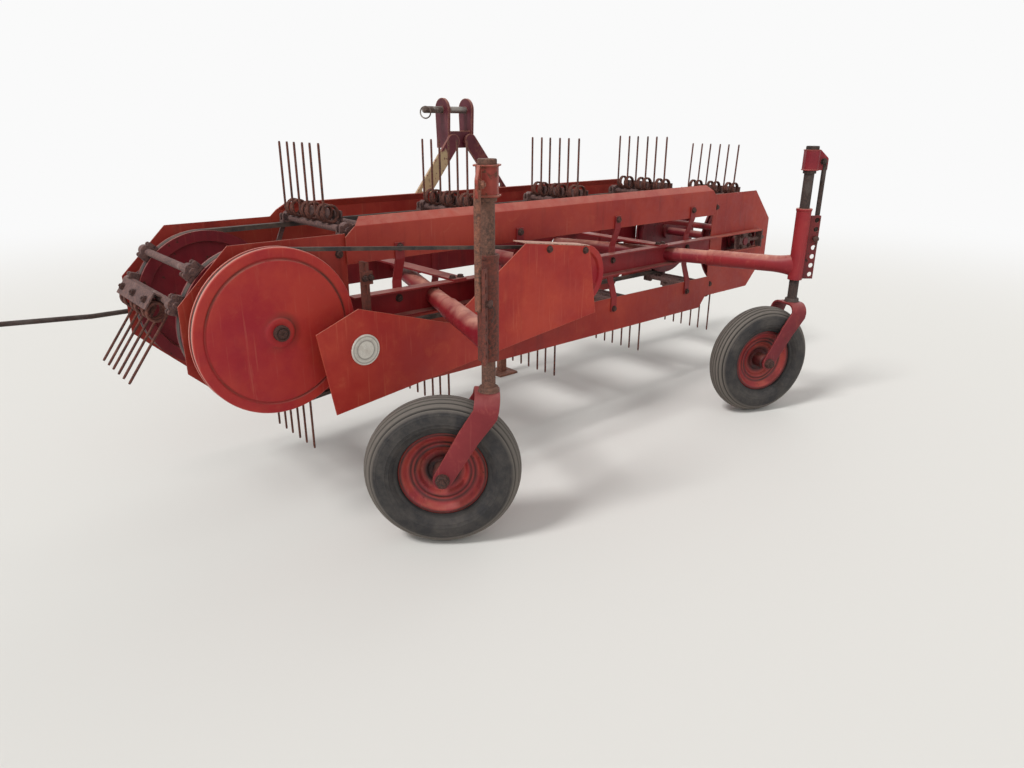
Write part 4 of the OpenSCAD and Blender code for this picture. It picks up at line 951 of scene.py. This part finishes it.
# painted shade: the belt groove, the step of the web and the hub are marked to be darkened
markAround(disc, "paintedShade", near(discShape, [drive["discR"] - 28.5, drive["discR"] - 13, 40], 3.5))
# painted highlight: the disc's outer rim corners are marked to be painted pale
markAround(disc, "rimHighlight", near(discShape, [drive["discR"] + 0.5], 1.4))
piece("pulley_small", moved(revolved(pulleyProfile(drive), 96), alongY(0, -drive["plane"], height)), "disc",
      standsFor="drive_shaft")
piece("shaft_splined", moved(splinedShaft(drive), toMetres(facing([0, 0, height], [0, 1, 0]))), "steel",
      standsFor="drive_shaft")
shaftEnd = [[0, 1.2], [3.4, 1.4], [4.2, 3.6], [10.5, 4.2], [12, 3], [12.6, 0.6], [15.4, 0.6], [16, 3.4],
            [19.5, 3], [20.5, 1], [20.5, -8.6], [17.7, -8.6], [17.7, -0.1], [17.5, 0.1], [0, 0.1]]
hubEndPlace = alongY(discX, -drive["plane"] - drive["hubEndOut"], height)
piece("disc_hub_end", moved(revolved(shaftEnd, 48, closed=False), hubEndPlace), "bolt", sharp=30)
print("drive made")

# blank round reflector, with two rings of painted shade marked by distance from its centre
reflector = {"x": -905, "y": -383, "z": 488, "widen": 1.1, "rings": (33, 23), "proud": 0.05}
lensProfile = np.array([[0, 0], [36, 0], [38, 1.5], [38, 4.5], [37, 6], [34.5, 6], [33.5, 4.8], [32, 4.8],
                        [30, 4.9], [24, 5.2], [23.5, 4.6], [22.5, 4.6], [22, 5.3], [20, 5.3], [10, 5.6],
                        [0, 5.7]])
lensShape = revolved(lensProfile * [reflector["widen"], 1], 72, closed=False)
lensPlace = alongY(reflector["x"], reflector["y"] - reflector["proud"], reflector["z"])
lens = piece("reflector_blank", moved(lensShape, lensPlace), "lens", standsFor="reflector", sharp=25)
lensPoints = np.empty(3 * len(lens.data.vertices))
lens.data.vertices.foreach_get("co", lensPoints)
fromCentre = lensPoints.reshape(-1, 3) - toFrame([reflector["x"], 0, reflector["z"]])
lensR = 1000 / reflector["widen"] * np.hypot(fromCentre[:, 0], fromCentre[:, 2])
markAround(lens, "paintedShade", near(lensR[:, None], reflector["rings"], 1))

# top link pin with its spring ring
linkPin = {"y": 405, "z": 1097, "end": -148, "ringX": -138, "ringR": 21, "ringLow": 10, "ringTurn": 9,
           "wire": 2.6}
pinProfile = [[0, linkPin["end"]], [9.5, linkPin["end"]], [12.5, linkPin["end"] + 4], [12.5, 62.3],
              [20.5, 62.3], [21, 64], [21, 74], [19, 76], [0, 76]]
a = np.linspace(0, 2 * np.pi, 41)
ringSide = np.stack([np.cos(a), np.sin(a), 0 * a], -1)
ringPath = linkPin["ringR"] * ringSide + np.stack([0 * a, 0 * a - linkPin["ringLow"],
                                                   linkPin["ringX"] - linkPin["ringTurn"] * np.cos(a)], -1)
ring = swept(ringPath, np.full(41, linkPin["wire"]), ringSide, circle(8))
alongX = toMetres(facing([0, linkPin["y"], linkPin["z"]], [1, 0, 0]))
piece("top_link_pin_ringed", moved(joined(revolved(pinProfile, 48, closed=False), ring), alongX), "steel")

# bolts and nuts: a row is x, y, z in machine millimetres, then the way the bolt's head looks
strapX = (-700, -240, 240, 700)
wallRows = [(strapX, 255.1, (721, 388)), (strapX, 237.1, (570,)), ((-884, 884), 240.1, (719, 392))]
painted = [(x, k * y, z, 0, k, 0) for xs, y, zs in wallRows for x in xs for z in zs for k in (-1, 1)]
painted += [(-68, -383.1, 660, 0, -1, 0), (-232, -383.1, 681, 0, -1, 0)]
painted += [(kx * 500 + dx, ky * 252, 606.1, 0, 0, 1) for kx in (-1, 1) for ky in (-1, 1) for dx in (-15, 15)]
rusty = [(machine["halfShaft"] + dx, k * 257.1, 560 + dz, 0, k, 0)
         for k in (-1, 1) for dx in (-31, 31) for dz in (-22, 22)]
rusty += [(discX + 36 * math.cos(k), 246.1, height + 36 * math.sin(k), 0, 1, 0)
          for k in np.radians([90, 210, 330])]
rusty += [(kx * 318, y, 638, 0, k, 0) for kx in (-1, 1) for y, k in ((367.1, 1), (348.9, -1))]
rusty += [(dx - 838, -304.1, 658, 0, -1, 0) for dx in (-9, 9)]
for name, rows, shape, size in (("bolts_painted", painted, hexNut(*nuts["bolt"]), 1),
                                ("bolts_rusty", rusty, hexNut(*nuts["hanger"]), 0.8)):
    rows = np.array(rows, float)
    piece(name, copies(shape, toMetres(facing(rows[:, :3], rows[:, 3:], size))), "bolt", sharp=30)
print("bolts made:", len(painted) + len(rusty))


# floor, lights and backdrop
def seenRays(tree):
    # 1 on rays from the camera, in gloss and through glass, else 0
    rays = add(tree, "ShaderNodeLightPath").outputs
    seen = rays["Is Camera Ray"]
    for kind in ("Is Glossy Ray", "Is Transmission Ray"):
        seen = add(tree, "ShaderNodeMath", {0: seen, 1: rays[kind]}, operation="MAXIMUM").outputs[0]
    return seen


floorLook = {"half": 60, "colour": "DCDAD5", "paper": "FAFAFA", "fadeFrom": 2.0, "fadeTo": 7.5}
floorMaterial, tree, shader = newMaterial("pale studio floor", 0.95)
coords = add(tree, "ShaderNodeTexCoord").outputs["Object"]
distance = add(tree, "ShaderNodeVectorMath", {0: coords}, operation="LENGTH").outputs["Value"]
fade = add(tree, "ShaderNodeMapRange", {"Value": distance, "From Min": floorLook["fadeFrom"],
                                        "From Max": floorLook["fadeTo"]},
           interpolation_type="SMOOTHERSTEP").outputs[0]
fade = add(tree, "ShaderNodeMath", {0: fade, 1: seenRays(tree)}, operation="MULTIPLY").outputs[0]
paper = add(tree, "ShaderNodeEmission", {"Color": linear(floorLook["paper"]), "Strength": 1.0}).outputs[0]
blend = add(tree, "ShaderNodeMixShader", {0: fade, 1: shader.outputs[0], 2: paper}).outputs[0]
setInputs(tree, shader, {"Base Color": linear(floorLook["colour"])})
setInputs(tree, tree.nodes["Material Output"], {"Surface": blend})
floorMesh = bpy.data.meshes.new("floor")
floorCorners = [(kx * floorLook["half"], ky * floorLook["half"], 0)
                for kx, ky in ((-1, -1), (1, -1), (1, 1), (-1, 1))]
floorMesh.from_pydata(floorCorners, [], [(0, 1, 2, 3)])
floorMesh.materials.append(floorMaterial)
newObject("floor", floorMesh)

# one soft key from the left above, and two wide fills; suns, so that the floor is lit evenly to the horizon
lamps = {
    "key": {"from": (-0.62, 0.05, 0.78), "angle": 14, "strength": 1.9},
    "fill": {"from": (-0.35, -0.85, 0.4), "angle": 70, "strength": 0.75},
    "rim": {"from": (0.8, 0.45, 0.4), "angle": 50, "strength": 0.5},
}
for name, lamp in lamps.items():
    data = bpy.data.lights.new(name, "SUN")
    data.angle, data.energy = math.radians(lamp["angle"]), lamp["strength"]
    newObject(name, data, facing([0, 0, 0], lamp["from"]))

world = bpy.data.worlds.new("studio")
bpy.context.scene.world = world
world.use_nodes = True
tree = world.node_tree
strength = add(tree, "ShaderNodeMapRange", {"Value": seenRays(tree), "To Min": 0.5, "To Max": 1.0}).outputs[0]
setInputs(tree, tree.nodes["Background"], {"Color": linear(floorLook["paper"]), "Strength": strength})
print("stage made")
